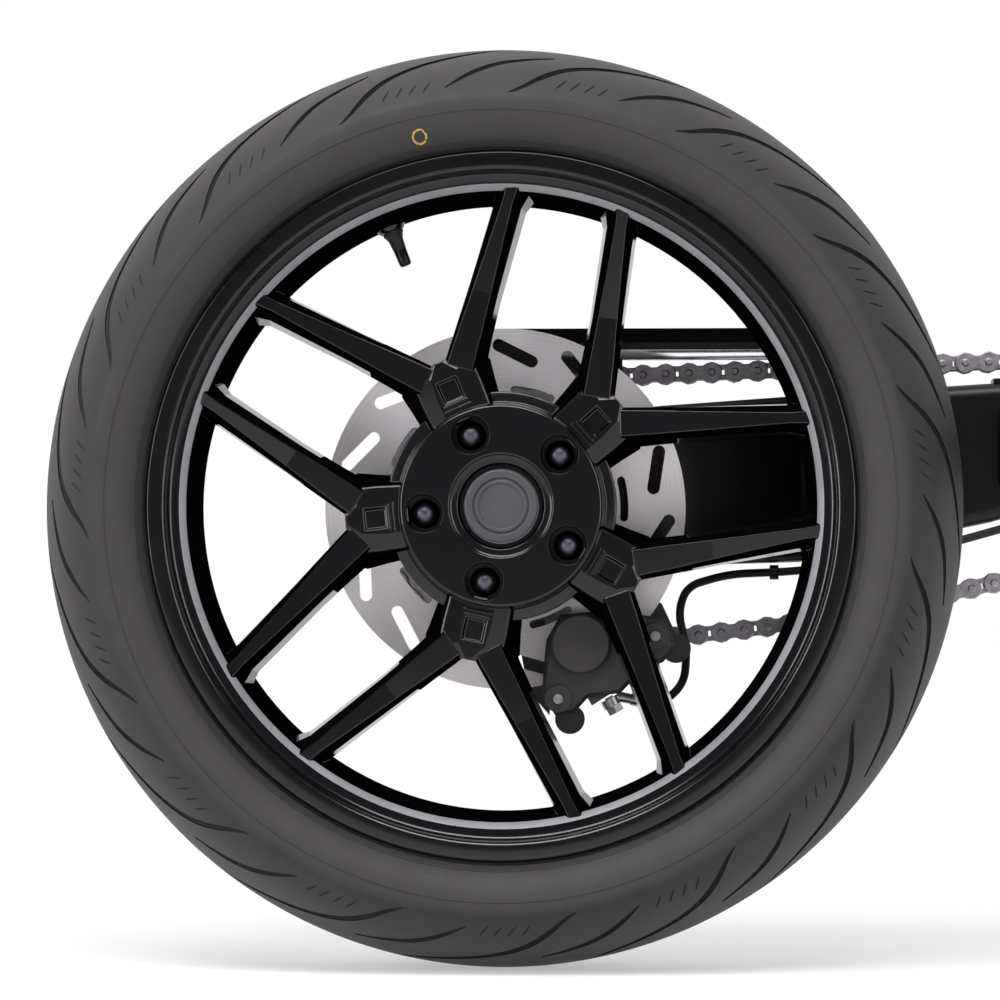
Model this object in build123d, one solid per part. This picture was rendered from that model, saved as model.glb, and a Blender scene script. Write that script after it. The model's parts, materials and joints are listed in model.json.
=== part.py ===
from build123d import *
from math import asin, atan2, ceil, cos, degrees, hypot, pi, radians, sin, tan
import os

# Rear wheel of a motorcycle on its single-sided swingarm. Lengths in mm, angles in degrees.
# The row frame has +X forward, +Y to the rider's left and +Z up, with its origin at the swingarm's pivot.
# All pieces are drawn in the side frame: x forward, y up and z out to the rider's right,
# from the wheel's centre.

# Where the wheel sits from the pivot
AXLE_BACK = 500.0
AXLE_DROP = 60.0

# Fits
RUNNING_FIT = 0.05
SEAT_GAP = 0.3
BOLT_FIT = 0.2

# Tyre
TYRE_RADIUS = 304.0
TYRE_HALF_WIDTH = 75.0
SHOULDER_DROP = 39.0
WALL_BULGE = 8.0
CARCASS = 8.0
BEAD_WIDTH = 13.0
CROWN_FLATS = 8

# Rim
RIM_RADIUS = 232.3
RIM_HALF_WIDTH = 58.0
FLANGE_HEIGHT = 13.8
FLANGE_WALL = 4.5
WELL_DEPTH = 13.0
WELL_HALF_WIDTH = 22.0
RIM_WALL = 4.5
LIP_ROUND = 3.5

# Wheel hub
HUB_FACE_RADIUS = 66.0
HUB_BODY_RADIUS = 75.5
HUB_FRONT = 44.0
HUB_STEP = 6.0
HUB_BACK = 4.0
BOLT_CIRCLE = 50.8
BOLT_ANGLE = 41.4
COUNTERBORE_RADIUS = 11.8
COUNTERBORE_DEPTH = 20.0
WHEEL_BOLT_RADIUS = 6.0
WHEEL_BOLT_HEAD = 9.0
WHEEL_BOLT_DOME = 5.9
WHEEL_BOLT_HEIGHT = 13.0
CAP_RADIUS = 24.0
CAP_THICKNESS = 8.0
CAP_SINK = 3.0
CAP_RECESS_RADIUS = 33.5

# Roots and spokes
ROOTS = 5
ROOT_ANGLE = 41.7
ROOT_HALF_WIDTH = 20.0
ROOT_END = 92.0
ROOT_FRONT = 38.0
ROOT_BACK = 14.0
ROOT_RECESS = 20.0
ROOT_RECESS_DEPTH = 2.5
CROTCH_REACH = 11.0
CROTCH_HALF_WIDTH = 5.5
SPOKE_SPREAD = 25.8
SPOKE_SINK = 8.8
SPOKE_BREAK = 0.42
# Spoke sections from root to rim: face width, bevel, bevel drop, draft to the wide window, draft to
# the narrow window, front z, back z
SPOKE_ROOT = (17.5, 1.0, 2.5, 1.5, 1.0, ROOT_FRONT, ROOT_BACK)
SPOKE_MIDDLE = (12.5, 2.0, 4.5, 3.2, 2.2, 39.5, 20.0)
SPOKE_RIM = (6.0, 3.0, 6.0, 5.4, 3.6, 46.0, 31.5)

# Valve
VALVE_ANGLE = 111.9
VALVE_LEAN = 12.0
VALVE_RADIUS = 4.0
VALVE_BOSS = 2.5
VALVE_LENGTH = 28.0

# Axle
AXLE_RADIUS = 25.0
AXLE_BORE = 14.0
AXLE_FLANGE_RADIUS = 62.0
AXLE_FLANGE = 12.0
AXLE_NUT_THREAD = 22.0
AXLE_NUT_WIDTH = 52.0
AXLE_NUT_HEIGHT = 16.0

# Brake disc
DISC_RADIUS = 121.0
DISC_THICKNESS = 5.0
DISC_FACE = -27.0
DISC_SEAT_RADIUS = 58.0
DISC_BORE = 36.0
DISC_BOLT_CIRCLE = 48.0
DISC_BOLTS = 6
DISC_BOLT_RADIUS = 4.0
DISC_BOLT_HEAD = 4.0
DISC_SLOT_WIDTH = 8.4
DISC_SLOT_ANGLES = (20.3, -4.3)
DISC_SLOT_LEAN = 12.5
DISC_WINDOW_RADIUS = 80.0
DISC_WINDOW_WIDTH = 5.4
DISC_WINDOW_SPAN = 18.0

# Clamp housing and eccentric hub
HOUSING_RADIUS = 74.0
HOUSING_FRONT = -50.0
HOUSING_BACK = -97.5
CARRIER_RADIUS = 57.0
CARRIER_OFFSET = 6.0
CARRIER_NOSE_RADIUS = 37.0
CARRIER_NOSE = 10.0
LUG_REACH = 16.0
LUG_HALF_HEIGHT = 22.0
CLAMP_SLIT = 4.0
PINCH_BOLT_RADIUS = 4.0
PINCH_BOLT_Z = (-62.0, -86.0)

# Chain drive
PITCH = 15.875
REAR_TEETH = 36
FRONT_TEETH = 14
CHAIN_RISE = 2.0
UPPER_PITCHES = 36
REAR_WRAP = 18
FRONT_WRAP = 6
CHAIN_Z = -112.0
ROLLER_RADIUS = 5.08
INNER_WIDTH = 8.0
PLATE_THICKNESS = 4.0
PLATE_HALF_HEIGHT = 7.0
PLATE_WAIST = 4.8
SPROCKET_THICKNESS = 7.0
TOOTH_HEIGHT = 3.4
SPROCKET_BORE = 58.0
SPROCKET_BOLT_CIRCLE = 68.0
SPROCKET_BOLTS = 6
SPROCKET_BOLT_RADIUS = 4.0
CARRIER_FLANGE = 4.0
FRONT_SPLINE_RADIUS = 11.0

# Pivot
PIVOT_TUBE_RADIUS = 26.0
PIVOT_HALF_LENGTH = 98.0
SLEEVE_RADIUS = 15.0
PIVOT_BORE = 10.0
SLEEVE_PROUD = 5.0
SEAL_WALL = 8.0

# Swingarm
ARM_CORNER = 9.0
ARM_END_WIDTH = 25.0
ARM_END_INSET = 1.5
CROSS_MEMBER_X = 365.0
CROSS_MEMBER_DROP = 18.2
CROSS_MEMBER_WIDTH = 62.0
CROSS_MEMBER_HEIGHT = 58.0
RIGHT_ARM_HEIGHT = 40.0
SHOCK_BORE = 5.0
SHOCK_GAP = 30.0
SHOCK_LIFT = 22.0
SHOCK_EAR = 10.0
SHOCK_EAR_RADIUS = 11.0
SHOCK_PLATE = 4.0
# Beam stations from the housing to the pivot: x, low y, high y, low z, high z
BEAM = (
    (20.0, -60.0, 62.0, -96.0, -52.0),
    (105.0, -38.0, 71.0, -97.0, -60.0),
    (200.0, -35.0, 79.0, -128.0, -84.0),
    (330.0, -8.0, 87.0, -128.0, -84.0),
    (420.0, 18.0, 90.0, -120.0, -80.0),
    (AXLE_BACK - 30, AXLE_DROP - 29, AXLE_DROP + 28, ARM_END_INSET - PIVOT_HALF_LENGTH, -72.0),
    (AXLE_BACK, AXLE_DROP - 24, AXLE_DROP + 24, ARM_END_INSET - PIVOT_HALF_LENGTH, -72.0),
)

# Chain slider and guard
SLIDER_THICKNESS = 3.0
SLIDER_ENDS = (332.0, 468.0)
SLIDER_Z = (-114.0, -90.0)
GUARD_START = -14.0
GUARD_LENGTH = 282.0
GUARD_FEET = (82.0, 33.0)
GUARD_TONGUE = (62.0, 9.0)
GUARD_BOLT_RADIUS = 3.0
GUARD_FOOT = 2.5

# Brake caliper, placed from the disc's edge
PIN_BEYOND = 11.0
PIN_ANGLES = (-74.1, -40.3)
SLIDE_PIN_RADIUS = 3.3
PIN_BOSS_RADIUS = 9.0
PISTON_BEYOND = -17.0
PISTON_ANGLE = -60.5
PISTON_BOSS_RADIUS = 20.5
PISTON_BOSS_PROUD = 6.0
CALIPER_FRONT = -3.0
PAD_CLEARANCE = 9.0
BRIDGE_BEYOND = (3.0, 23.0)
BRIDGE_ANGLES = (-67.0, -48.5)
FAR_HALF = (-52.0, -41.0)
BRACKET_Z = (-47.7, -42.0)
BRACKET_LOBE = 16.0
LOBE_RADIUS = 10.0
# Near half's outline: distance beyond the disc's edge, angle
NEAR_HALF = (
    (-28.7, -72.2), (4.7, -78.5), (22.0, -76.0), (23.0, -71.0), (16.9, -65.9), (24.6, -57.8), (21.1, -50.2),
    (26.5, -44.0), (26.0, -39.0), (8.6, -34.4), (-5.5, -38.1), (-30.9, -50.3), (-40.4, -62.2),
)
BANJO_BEYOND = 24.0
BANJO_ANGLE = -61.45
# Hose's first two points: forward of the banjo, above it, z
HOSE_START = ((14.7, -0.6, -46.0), (34.7, -4.6, -47.0))
HOSE_RADIUS = 2.8
CLIP_PLACES = (181.8, 352.0)

bead_seat = RIM_RADIUS - FLANGE_HEIGHT
well = bead_seat - WELL_DEPTH
window_radius = well - RIM_WALL
pin_circle = DISC_RADIUS + PIN_BEYOND
cross_y = AXLE_DROP - CROSS_MEMBER_DROP
cross_top = cross_y + CROSS_MEMBER_HEIGHT / 2
pinch_x = CARRIER_OFFSET - HOUSING_RADIUS - LUG_REACH / 2
sprocket_front = CHAIN_Z + SPROCKET_THICKNESS / 2
sprocket_back = CHAIN_Z - SPROCKET_THICKNESS / 2
disc_back = DISC_FACE - DISC_THICKNESS

side = Plane(origin=(-AXLE_BACK, 0, -AXLE_DROP), x_dir=(1, 0, 0), z_dir=(0, -1, 0))


def save(node, shape):
    """Write one node, turned from the side frame into the row frame."""
    solids = [side.location * solid for solid in shape.solids()]
    placed = solids[0] if len(solids) == 1 else Compound(solids)
    export_step(placed, f"parts/{node}.step")


def polar(radius, angle):
    return (radius * cos(radians(angle)), radius * sin(radians(angle)))


def turned(outline):
    """Turn a closed outline of (radius, z) points about the wheel's axis."""
    return revolve(Plane.XZ * make_face(Polyline(*outline, close=True)), axis=Axis.Z)


def tube(outer, inner, low, high):
    return Pos(0, 0, low) * extrude(Circle(outer) - Circle(inner), amount=high - low)


def rod(radius, low, high, place=(0, 0)):
    return Pos(place[0], place[1], low) * extrude(Circle(radius), amount=high - low)


def plate(outline, low, high):
    return Pos(0, 0, low) * extrude(make_face(Polyline(*outline, close=True)), amount=high - low)


def hexagon(radius, low, high, place=(0, 0)):
    return Pos(place[0], place[1], low) * extrude(RegularPolygon(radius, 6), amount=high - low)


def around(radius, count, first_angle):
    return [polar(radius, first_angle + 360 / count * step) for step in range(count)]


def together(solids):
    return Compound([piece for solid in solids for piece in solid.solids()])


def crown_points(radius, half_width, drop, flats):
    """Points of a round crown from its +z shoulder to its -z one."""
    bend = (half_width**2 + drop**2) / (2 * drop)
    reach = asin(half_width / bend)
    turns = [reach * (1 - 2 * step / flats) for step in range(flats + 1)]
    return [(radius - bend + bend * cos(turn), bend * sin(turn)) for turn in turns]


def make_tyre():
    """Hollow carcass whose crown is drawn in flats, with bulging walls and two beads in the rim."""
    bead_face = RIM_HALF_WIDTH - FLANGE_WALL - SEAT_GAP
    bead_foot = bead_seat + SEAT_GAP
    outer_wall = [
        (bead_foot, bead_face),
        (RIM_RADIUS + 1.0, bead_face),
        (RIM_RADIUS + 2.5, RIM_HALF_WIDTH - 1.0),
        (RIM_RADIUS + WALL_BULGE, TYRE_HALF_WIDTH - WALL_BULGE),
        (RIM_RADIUS + 2.2 * WALL_BULGE, TYRE_HALF_WIDTH - 1.0),
    ]
    inner_wall = [
        (bead_foot, bead_face - BEAD_WIDTH),
        (bead_foot + 1.5 * BEAD_WIDTH, bead_face - BEAD_WIDTH + 2.0),
        (RIM_RADIUS + 2.5 * WALL_BULGE, TYRE_HALF_WIDTH - CARCASS - 2.0),
    ]
    crown = crown_points(TYRE_RADIUS, TYRE_HALF_WIDTH, SHOULDER_DROP, CROWN_FLATS)
    inner_crown = crown_points(
        TYRE_RADIUS - CARCASS, TYRE_HALF_WIDTH - CARCASS, SHOULDER_DROP - CARCASS, CROWN_FLATS // 2
    )
    far_outer = [(radius, -z) for radius, z in reversed(outer_wall)]
    far_inner = [(radius, -z) for radius, z in inner_wall]
    return turned(outer_wall + crown + far_outer + far_inner + inner_crown[::-1] + inner_wall[::-1])


def rim_outline():
    """Rim section: outer side from the near lip to the far one, then back along the windows."""
    outer_half = [
        (RIM_RADIUS, RIM_HALF_WIDTH - LIP_ROUND),
        (RIM_RADIUS, RIM_HALF_WIDTH - FLANGE_WALL),
        (bead_seat, RIM_HALF_WIDTH - FLANGE_WALL),
        (bead_seat - 1.0, RIM_HALF_WIDTH - WELL_HALF_WIDTH),
        (well, WELL_HALF_WIDTH),
    ]
    inner_half = [
        (window_radius, 10.0),
        (window_radius + 4.0, RIM_HALF_WIDTH - 24.0),
        (window_radius + 6.0, RIM_HALF_WIDTH - 14.0),
        (window_radius + 8.0, RIM_HALF_WIDTH - 11.5),
        (window_radius + 10.5, RIM_HALF_WIDTH - 10.5),
        (bead_seat - 5.0, RIM_HALF_WIDTH - 8.5),
        (bead_seat - 1.5, RIM_HALF_WIDTH - 2.5),
        (bead_seat + 1.5, RIM_HALF_WIDTH),
        (RIM_RADIUS - LIP_ROUND - 1.0, RIM_HALF_WIDTH),
        (RIM_RADIUS - 1.0, RIM_HALF_WIDTH - 1.2),
    ]
    far_outer = [(radius, -z) for radius, z in reversed(outer_half)]
    far_inner = [(radius, -z) for radius, z in reversed(inner_half)]
    return outer_half + far_outer + far_inner + inner_half


def spoke_section(place, heading, sizes):
    """Spoke section across its run: drafted flanks, bevels and a nearly flat face."""
    face_width, bevel, drop, wide_draft, narrow_draft, front, back = sizes
    half = face_width / 2
    outline = [
        (-half - bevel - wide_draft, back),
        (half + bevel + narrow_draft, back),
        (half + bevel, front - drop),
        (half, front - 0.4),
        (-half, front),
        (-half - bevel, front - drop),
    ]
    across = (-sin(heading), cos(heading), 0)
    along = (cos(heading), sin(heading), 0)
    frame = Plane(origin=(place[0], place[1], 0), x_dir=across, z_dir=along)
    return frame * make_face(Polyline(*outline, close=True))


def make_root():
    """One root block along +x with its two spokes, which spread to the rim as a V."""
    inner = HUB_FACE_RADIUS - HUB_STEP
    block = plate(
        [
            (inner, -ROOT_HALF_WIDTH),
            (ROOT_END, -ROOT_HALF_WIDTH),
            (ROOT_END + CROTCH_REACH, -CROTCH_HALF_WIDTH),
            (ROOT_END + CROTCH_REACH, CROTCH_HALF_WIDTH),
            (ROOT_END, ROOT_HALF_WIDTH),
            (inner, ROOT_HALF_WIDTH),
        ],
        ROOT_BACK,
        ROOT_FRONT,
    )
    block = chamfer(block.faces().sort_by(Axis.Z)[-1].edges().filter_by(Axis.X), 2.0)
    start = (ROOT_END + 2.0, ROOT_HALF_WIDTH - 8.5)
    end = polar(window_radius + SPOKE_SINK, SPOKE_SPREAD)
    middle = (start[0] + SPOKE_BREAK * (end[0] - start[0]), start[1] + SPOKE_BREAK * (end[1] - start[1]))
    heading = atan2(end[1] - start[1], end[0] - start[0])
    sections = [
        spoke_section(start, heading, SPOKE_ROOT),
        spoke_section(middle, heading, SPOKE_MIDDLE),
        spoke_section(end, heading, SPOKE_RIM),
    ]
    spoke = loft(sections, ruled=True)
    recess_middle = (ROOT_END - ROOT_RECESS / 2 - 2.0, 0, ROOT_FRONT)
    recess = Pos(*recess_middle) * Box(ROOT_RECESS, ROOT_RECESS, 2 * ROOT_RECESS_DEPTH)
    return block + spoke + mirror(spoke, about=Plane.XZ) - recess


def make_cast_wheel():
    hub = turned(
        [
            (AXLE_RADIUS, HUB_BACK),
            (AXLE_FLANGE_RADIUS, HUB_BACK),
            (HUB_BODY_RADIUS, ROOT_BACK),
            (HUB_BODY_RADIUS, HUB_FRONT - 2 * HUB_STEP),
            (HUB_FACE_RADIUS + 2.0, HUB_FRONT - HUB_STEP),
            (HUB_FACE_RADIUS, HUB_FRONT - 1.5),
            (HUB_FACE_RADIUS - 2.5, HUB_FRONT),
            (CAP_RECESS_RADIUS, HUB_FRONT),
            (CAP_RECESS_RADIUS - 4.0, HUB_FRONT - CAP_SINK - 2.0),
            (CAP_RADIUS + CAP_SINK, HUB_FRONT - CAP_SINK - 2.0),
            (AXLE_RADIUS, HUB_FRONT - CAP_SINK - 6.0),
        ]
    )
    wheel = turned(rim_outline()) + hub
    root = make_root()
    for step in range(ROOTS):
        wheel += Rot(0, 0, ROOT_ANGLE + 360 / ROOTS * step) * root
    wheel += valve_frame().location * rod(2.2 * VALVE_RADIUS, -RIM_WALL / 2, VALVE_BOSS)
    for place in around(BOLT_CIRCLE, ROOTS, BOLT_ANGLE):
        wheel -= rod(COUNTERBORE_RADIUS, HUB_FRONT - COUNTERBORE_DEPTH, HUB_FRONT + 1, place)
        wheel -= rod(WHEEL_BOLT_RADIUS + BOLT_FIT, HUB_BACK - 1, HUB_FRONT, place)
    return wheel - valve_frame().location * rod(VALVE_RADIUS + BOLT_FIT, -4 * RIM_WALL, VALVE_BOSS + 1)


def valve_frame():
    """Frame of the valve: z points inward from the window's edge of the rim, with the valve's lean."""
    place = polar(window_radius, VALVE_ANGLE)
    inward = polar(-1.0, VALVE_ANGLE - VALVE_LEAN)
    return Plane(origin=(place[0], place[1], 0), x_dir=(0, 0, 1), z_dir=(inward[0], inward[1], 0))


def make_valve():
    frame = valve_frame().location
    collar = tube(1.6 * VALVE_RADIUS, VALVE_RADIUS - 1.0, VALVE_BOSS + BOLT_FIT, VALVE_BOSS + 2.5)
    stem = rod(VALVE_RADIUS, -2 * RIM_WALL, 12.0) + rod(VALVE_RADIUS - 1.4, 12.0, VALVE_LENGTH - 4.0) + collar
    cap_low, cap_radius = VALVE_LENGTH - 12.0, VALVE_RADIUS - 0.3
    cap = tube(cap_radius, VALVE_RADIUS - 1.4 + BOLT_FIT, cap_low, VALVE_LENGTH - 3.8)
    cap += rod(cap_radius, VALVE_LENGTH - 3.8, VALVE_LENGTH)
    return frame * stem, frame * cap


def make_wheel_bolts():
    seat = HUB_FRONT - COUNTERBORE_DEPTH
    bolts = []
    for place in around(BOLT_CIRCLE, ROOTS, BOLT_ANGLE):
        shank = rod(WHEEL_BOLT_RADIUS, HUB_BACK - AXLE_FLANGE + 1.0, seat, place)
        head = rod(WHEEL_BOLT_HEAD, seat, seat + WHEEL_BOLT_HEIGHT - 5.0, place)
        dome = rod(WHEEL_BOLT_DOME, seat, seat + WHEEL_BOLT_HEIGHT, place)
        dome = chamfer(dome.edges().group_by(Axis.Z)[-1], 3.0)
        bolts.append(shank + head + dome)
    return together(bolts)


def make_centre_cap():
    top = HUB_FRONT - CAP_SINK
    ring = 0.76 * CAP_RADIUS
    return turned(
        [
            (0, top - CAP_THICKNESS),
            (CAP_RADIUS - 1.0, top - CAP_THICKNESS),
            (CAP_RADIUS, top - 2.0),
            (CAP_RADIUS - 2.0, top),
            (ring, top),
            (ring - 0.7, top - 0.8),
            (ring - 2.5, top - 0.8),
            (ring - 3.3, top - 0.2),
            (0, top - 0.2),
        ]
    )


def make_axle():
    """Hollow axle with its drive flange, the disc's seat and the nut's thread."""
    nose_front = HUB_FRONT - CAP_SINK - CAP_THICKNESS - BOLT_FIT
    flange_back = HUB_BACK - AXLE_FLANGE
    thread_start = sprocket_back - 2.0
    axle = turned(
        [
            (AXLE_BORE, nose_front),
            (AXLE_RADIUS - BOLT_FIT, nose_front),
            (AXLE_RADIUS - BOLT_FIT, HUB_BACK),
            (AXLE_FLANGE_RADIUS, HUB_BACK),
            (AXLE_FLANGE_RADIUS, flange_back),
            (DISC_SEAT_RADIUS, flange_back - 4.0),
            (DISC_SEAT_RADIUS, DISC_FACE),
            (DISC_BORE, DISC_FACE),
            (DISC_BORE, disc_back),
            (AXLE_RADIUS, disc_back - 3.0),
            (AXLE_RADIUS, thread_start),
            (AXLE_NUT_THREAD, thread_start),
            (AXLE_NUT_THREAD, thread_start - AXLE_NUT_HEIGHT - 4.0),
            (AXLE_BORE, thread_start - AXLE_NUT_HEIGHT - 4.0),
        ]
    )
    for place in around(BOLT_CIRCLE, ROOTS, BOLT_ANGLE):
        axle -= rod(WHEEL_BOLT_RADIUS + BOLT_FIT, flange_back, HUB_BACK + 1, place)
    for place in around(DISC_BOLT_CIRCLE, DISC_BOLTS, 0):
        axle -= rod(DISC_BOLT_RADIUS + BOLT_FIT, DISC_FACE - 1, DISC_FACE + 3 * DISC_BOLT_RADIUS, place)
    return axle


def make_disc():
    """Brake disc with slanted slots, arc windows and its ring of bolt holes."""
    disc = extrude(Circle(DISC_RADIUS) - Circle(DISC_BORE + BOLT_FIT), amount=-DISC_THICKNESS)
    cuts = Sketch()
    for first in DISC_SLOT_ANGLES:
        for step in range(ROOTS):
            angle = first + 360 / ROOTS * step
            outer = polar(DISC_RADIUS - 1.3 * DISC_SLOT_WIDTH, angle)
            inner = polar(DISC_RADIUS - 2.45 * DISC_SLOT_WIDTH, angle - DISC_SLOT_LEAN)
            middle = ((outer[0] + inner[0]) / 2, (outer[1] + inner[1]) / 2)
            run = hypot(outer[0] - inner[0], outer[1] - inner[1])
            turn = degrees(atan2(outer[1] - inner[1], outer[0] - inner[0]))
            cuts += Pos(*middle) * Rot(0, 0, turn) * SlotOverall(run + DISC_SLOT_WIDTH, DISC_SLOT_WIDTH)
    window = CenterArc((0, 0), DISC_WINDOW_RADIUS, -DISC_WINDOW_SPAN / 2, DISC_WINDOW_SPAN)
    for step in range(ROOTS):
        cuts += Rot(0, 0, 4.6 + 360 / ROOTS * step) * SlotArc(window, DISC_WINDOW_WIDTH)
    disc -= extrude(cuts, amount=-DISC_THICKNESS)
    for place in around(DISC_BOLT_CIRCLE, DISC_BOLTS, 0):
        disc -= rod(DISC_BOLT_RADIUS + BOLT_FIT, -DISC_THICKNESS - 1, 1, place)
    return Pos(0, 0, DISC_FACE) * disc


def make_disc_bolts():
    bolts = []
    for place in around(DISC_BOLT_CIRCLE, DISC_BOLTS, 0):
        shank = rod(DISC_BOLT_RADIUS, disc_back, DISC_FACE + 2.5 * DISC_BOLT_RADIUS, place)
        bolts.append(shank + rod(1.6 * DISC_BOLT_RADIUS, disc_back - DISC_BOLT_HEAD, disc_back, place))
    return together(bolts)


def beam_edge(x, column):
    """Height of the beam's low edge (column 1) or high edge (column 2) at x."""
    for before, after in zip(BEAM, BEAM[1:]):
        if before[0] <= x <= after[0]:
            share = (x - before[0]) / (after[0] - before[0])
            return before[column] + share * (after[column] - before[column])
    raise ValueError(x)


def make_arm():
    """Left side of the swingarm: clamp housing and the beam that runs forward to the pivot tube."""
    arm = Pos(CARRIER_OFFSET, 0, 0) * rod(HOUSING_RADIUS, HOUSING_BACK, HOUSING_FRONT)
    sections = []
    for x, low_y, high_y, low_z, high_z in BEAM:
        centre = (x, (low_y + high_y) / 2, (low_z + high_z) / 2)
        frame = Plane(origin=centre, x_dir=(0, 1, 0), z_dir=(1, 0, 0))
        sections.append(frame * RectangleRounded(high_y - low_y, high_z - low_z, ARM_CORNER))
    arm += loft(sections, ruled=True)
    middle = (HOUSING_FRONT + HOUSING_BACK) / 2
    depth = HOUSING_FRONT - HOUSING_BACK
    lugs = Pos(pinch_x + LUG_REACH / 2, 0, middle) * Box(2 * LUG_REACH, 2 * LUG_HALF_HEIGHT, depth)
    arm += chamfer(lugs.edges().filter_by(Axis.Z).group_by(Axis.X)[0], 5.0)
    arm -= Pos(CARRIER_OFFSET, 0, 0) * rod(CARRIER_RADIUS + RUNNING_FIT, HOUSING_BACK - 5, HOUSING_FRONT + 5)
    arm -= rod(PIVOT_TUBE_RADIUS, -PIVOT_HALF_LENGTH, 0, (AXLE_BACK, AXLE_DROP))
    arm -= Pos(pinch_x - 10, 0, middle) * Box(60.0, CLAMP_SLIT, 2 * depth)
    for z in PINCH_BOLT_Z:
        hole = Cylinder(PINCH_BOLT_RADIUS + BOLT_FIT, 4 * LUG_HALF_HEIGHT)
        arm -= Pos(pinch_x, 0, z) * Rot(90, 0, 0) * hole
    return arm


def make_pinch_bolts():
    radius = PINCH_BOLT_RADIUS
    bolt = rod(radius, -LUG_HALF_HEIGHT - 6.0, LUG_HALF_HEIGHT)
    bolt += rod(1.75 * radius, LUG_HALF_HEIGHT, LUG_HALF_HEIGHT + 2 * radius)
    bolt -= hexagon(0.8 * radius, LUG_HALF_HEIGHT + radius, LUG_HALF_HEIGHT + 3 * radius)
    return together([Pos(pinch_x, 0, z) * Rot(-90, 0, 0) * bolt for z in PINCH_BOLT_Z])


def make_pivot_tube():
    tube_solid = tube(PIVOT_TUBE_RADIUS, SLEEVE_RADIUS + RUNNING_FIT, -PIVOT_HALF_LENGTH, PIVOT_HALF_LENGTH)
    return Pos(AXLE_BACK, AXLE_DROP, 0) * tube_solid


def make_cross_member(arm):
    """Welded box between the beam and the right arm."""
    section = RectangleRounded(CROSS_MEMBER_WIDTH, CROSS_MEMBER_HEIGHT, ARM_CORNER)
    high = PIVOT_HALF_LENGTH - ARM_END_INSET
    return Pos(CROSS_MEMBER_X, cross_y, -high) * extrude(section, amount=2 * high) - arm


def make_right_arm():
    """Short right arm from the cross member to the pivot tube."""
    middle_z = PIVOT_HALF_LENGTH - ARM_END_INSET - ARM_END_WIDTH / 2
    start_x = CROSS_MEMBER_X + CROSS_MEMBER_WIDTH / 2
    # Stations: x, middle y, height
    stations = (
        (start_x, cross_y, RIGHT_ARM_HEIGHT),
        (AXLE_BACK - 30, AXLE_DROP - 1, RIGHT_ARM_HEIGHT + 6),
        (AXLE_BACK, AXLE_DROP, RIGHT_ARM_HEIGHT + 8),
    )
    sections = []
    for x, middle_y, height in stations:
        frame = Plane(origin=(x, middle_y, middle_z), x_dir=(0, 1, 0), z_dir=(1, 0, 0))
        sections.append(frame * RectangleRounded(height, ARM_END_WIDTH, ARM_CORNER))
    arm = loft(sections, ruled=True)
    return arm - rod(PIVOT_TUBE_RADIUS, 0, PIVOT_HALF_LENGTH, (AXLE_BACK, AXLE_DROP))


def make_shock_clevis():
    """Two ears on a plate on top of the cross member, for the shock's lower eye."""
    ear_y = cross_top + SHOCK_LIFT
    foot = 2 * SHOCK_EAR_RADIUS
    width = SHOCK_GAP + 2 * SHOCK_EAR
    ear_outline = [(-foot, SHOCK_PLATE - SHOCK_LIFT), (foot, SHOCK_PLATE - SHOCK_LIFT)]
    ear_outline += [(SHOCK_EAR_RADIUS, 0), (-SHOCK_EAR_RADIUS, 0)]
    ear = plate(ear_outline, 0, SHOCK_EAR) + rod(SHOCK_EAR_RADIUS, 0, SHOCK_EAR)
    ear -= rod(SHOCK_BORE, -1, SHOCK_EAR + 1)
    clevis = Pos(CROSS_MEMBER_X, cross_top + SHOCK_PLATE / 2, 0) * Box(2 * foot, SHOCK_PLATE, width)
    for near in (-width / 2, SHOCK_GAP / 2):
        clevis += Pos(CROSS_MEMBER_X, ear_y, near) * ear
    return clevis


def make_pivot_sleeve():
    reach = PIVOT_HALF_LENGTH + SLEEVE_PROUD
    return Pos(AXLE_BACK, AXLE_DROP, 0) * tube(SLEEVE_RADIUS, PIVOT_BORE, -reach, reach)


def make_pivot_seals():
    low = PIVOT_HALF_LENGTH + BOLT_FIT
    high = PIVOT_HALF_LENGTH + SLEEVE_PROUD - 1
    seal = tube(SLEEVE_RADIUS + SEAL_WALL, SLEEVE_RADIUS + BOLT_FIT, low, high)
    return Pos(AXLE_BACK, AXLE_DROP, 0) * together([seal, mirror(seal, about=Plane.XY)])


def make_carrier():
    """Eccentric axle hub: its outside is offset from its bore, which sets the chain's slack."""
    body = Pos(CARRIER_OFFSET, 0, 0) * rod(CARRIER_RADIUS, HOUSING_BACK - 1.5, HOUSING_FRONT + 2.0)
    nose_end = HOUSING_FRONT + CARRIER_NOSE
    nose = rod(CARRIER_NOSE_RADIUS, HOUSING_FRONT, nose_end)
    return body + nose - rod(AXLE_RADIUS + RUNNING_FIT, HOUSING_BACK - 3, nose_end + 1)


def make_sprocket(teeth, bore):
    """Sprocket in its own frame, with a roller seat on +x."""
    radius = PITCH / 2 / sin(pi / teeth)
    tip = radius + TOOTH_HEIGHT
    seat = ROLLER_RADIUS + SEAT_GAP
    flare = seat + 1.9
    gap = Pos(radius, 0) * Circle(seat)
    mouth = [(radius, -seat), (tip + 2, -flare), (tip + 2, flare), (radius, seat)]
    gap += make_face(Polyline(*mouth, close=True))
    blank = Circle(tip) - Circle(bore)
    blank -= [Rot(0, 0, 360 / teeth * step) * gap for step in range(teeth)]
    return Pos(0, 0, -SPROCKET_THICKNESS / 2) * extrude(blank, amount=SPROCKET_THICKNESS)


def make_rear_sprocket(tooth_angle):
    sprocket = Rot(0, 0, tooth_angle) * make_sprocket(REAR_TEETH, SPROCKET_BORE)
    for place in around(SPROCKET_BOLT_CIRCLE, SPROCKET_BOLTS, 0):
        sprocket -= rod(SPROCKET_BOLT_RADIUS + BOLT_FIT, -SPROCKET_THICKNESS, SPROCKET_THICKNESS, place)
    return Pos(0, 0, CHAIN_Z) * sprocket


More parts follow.
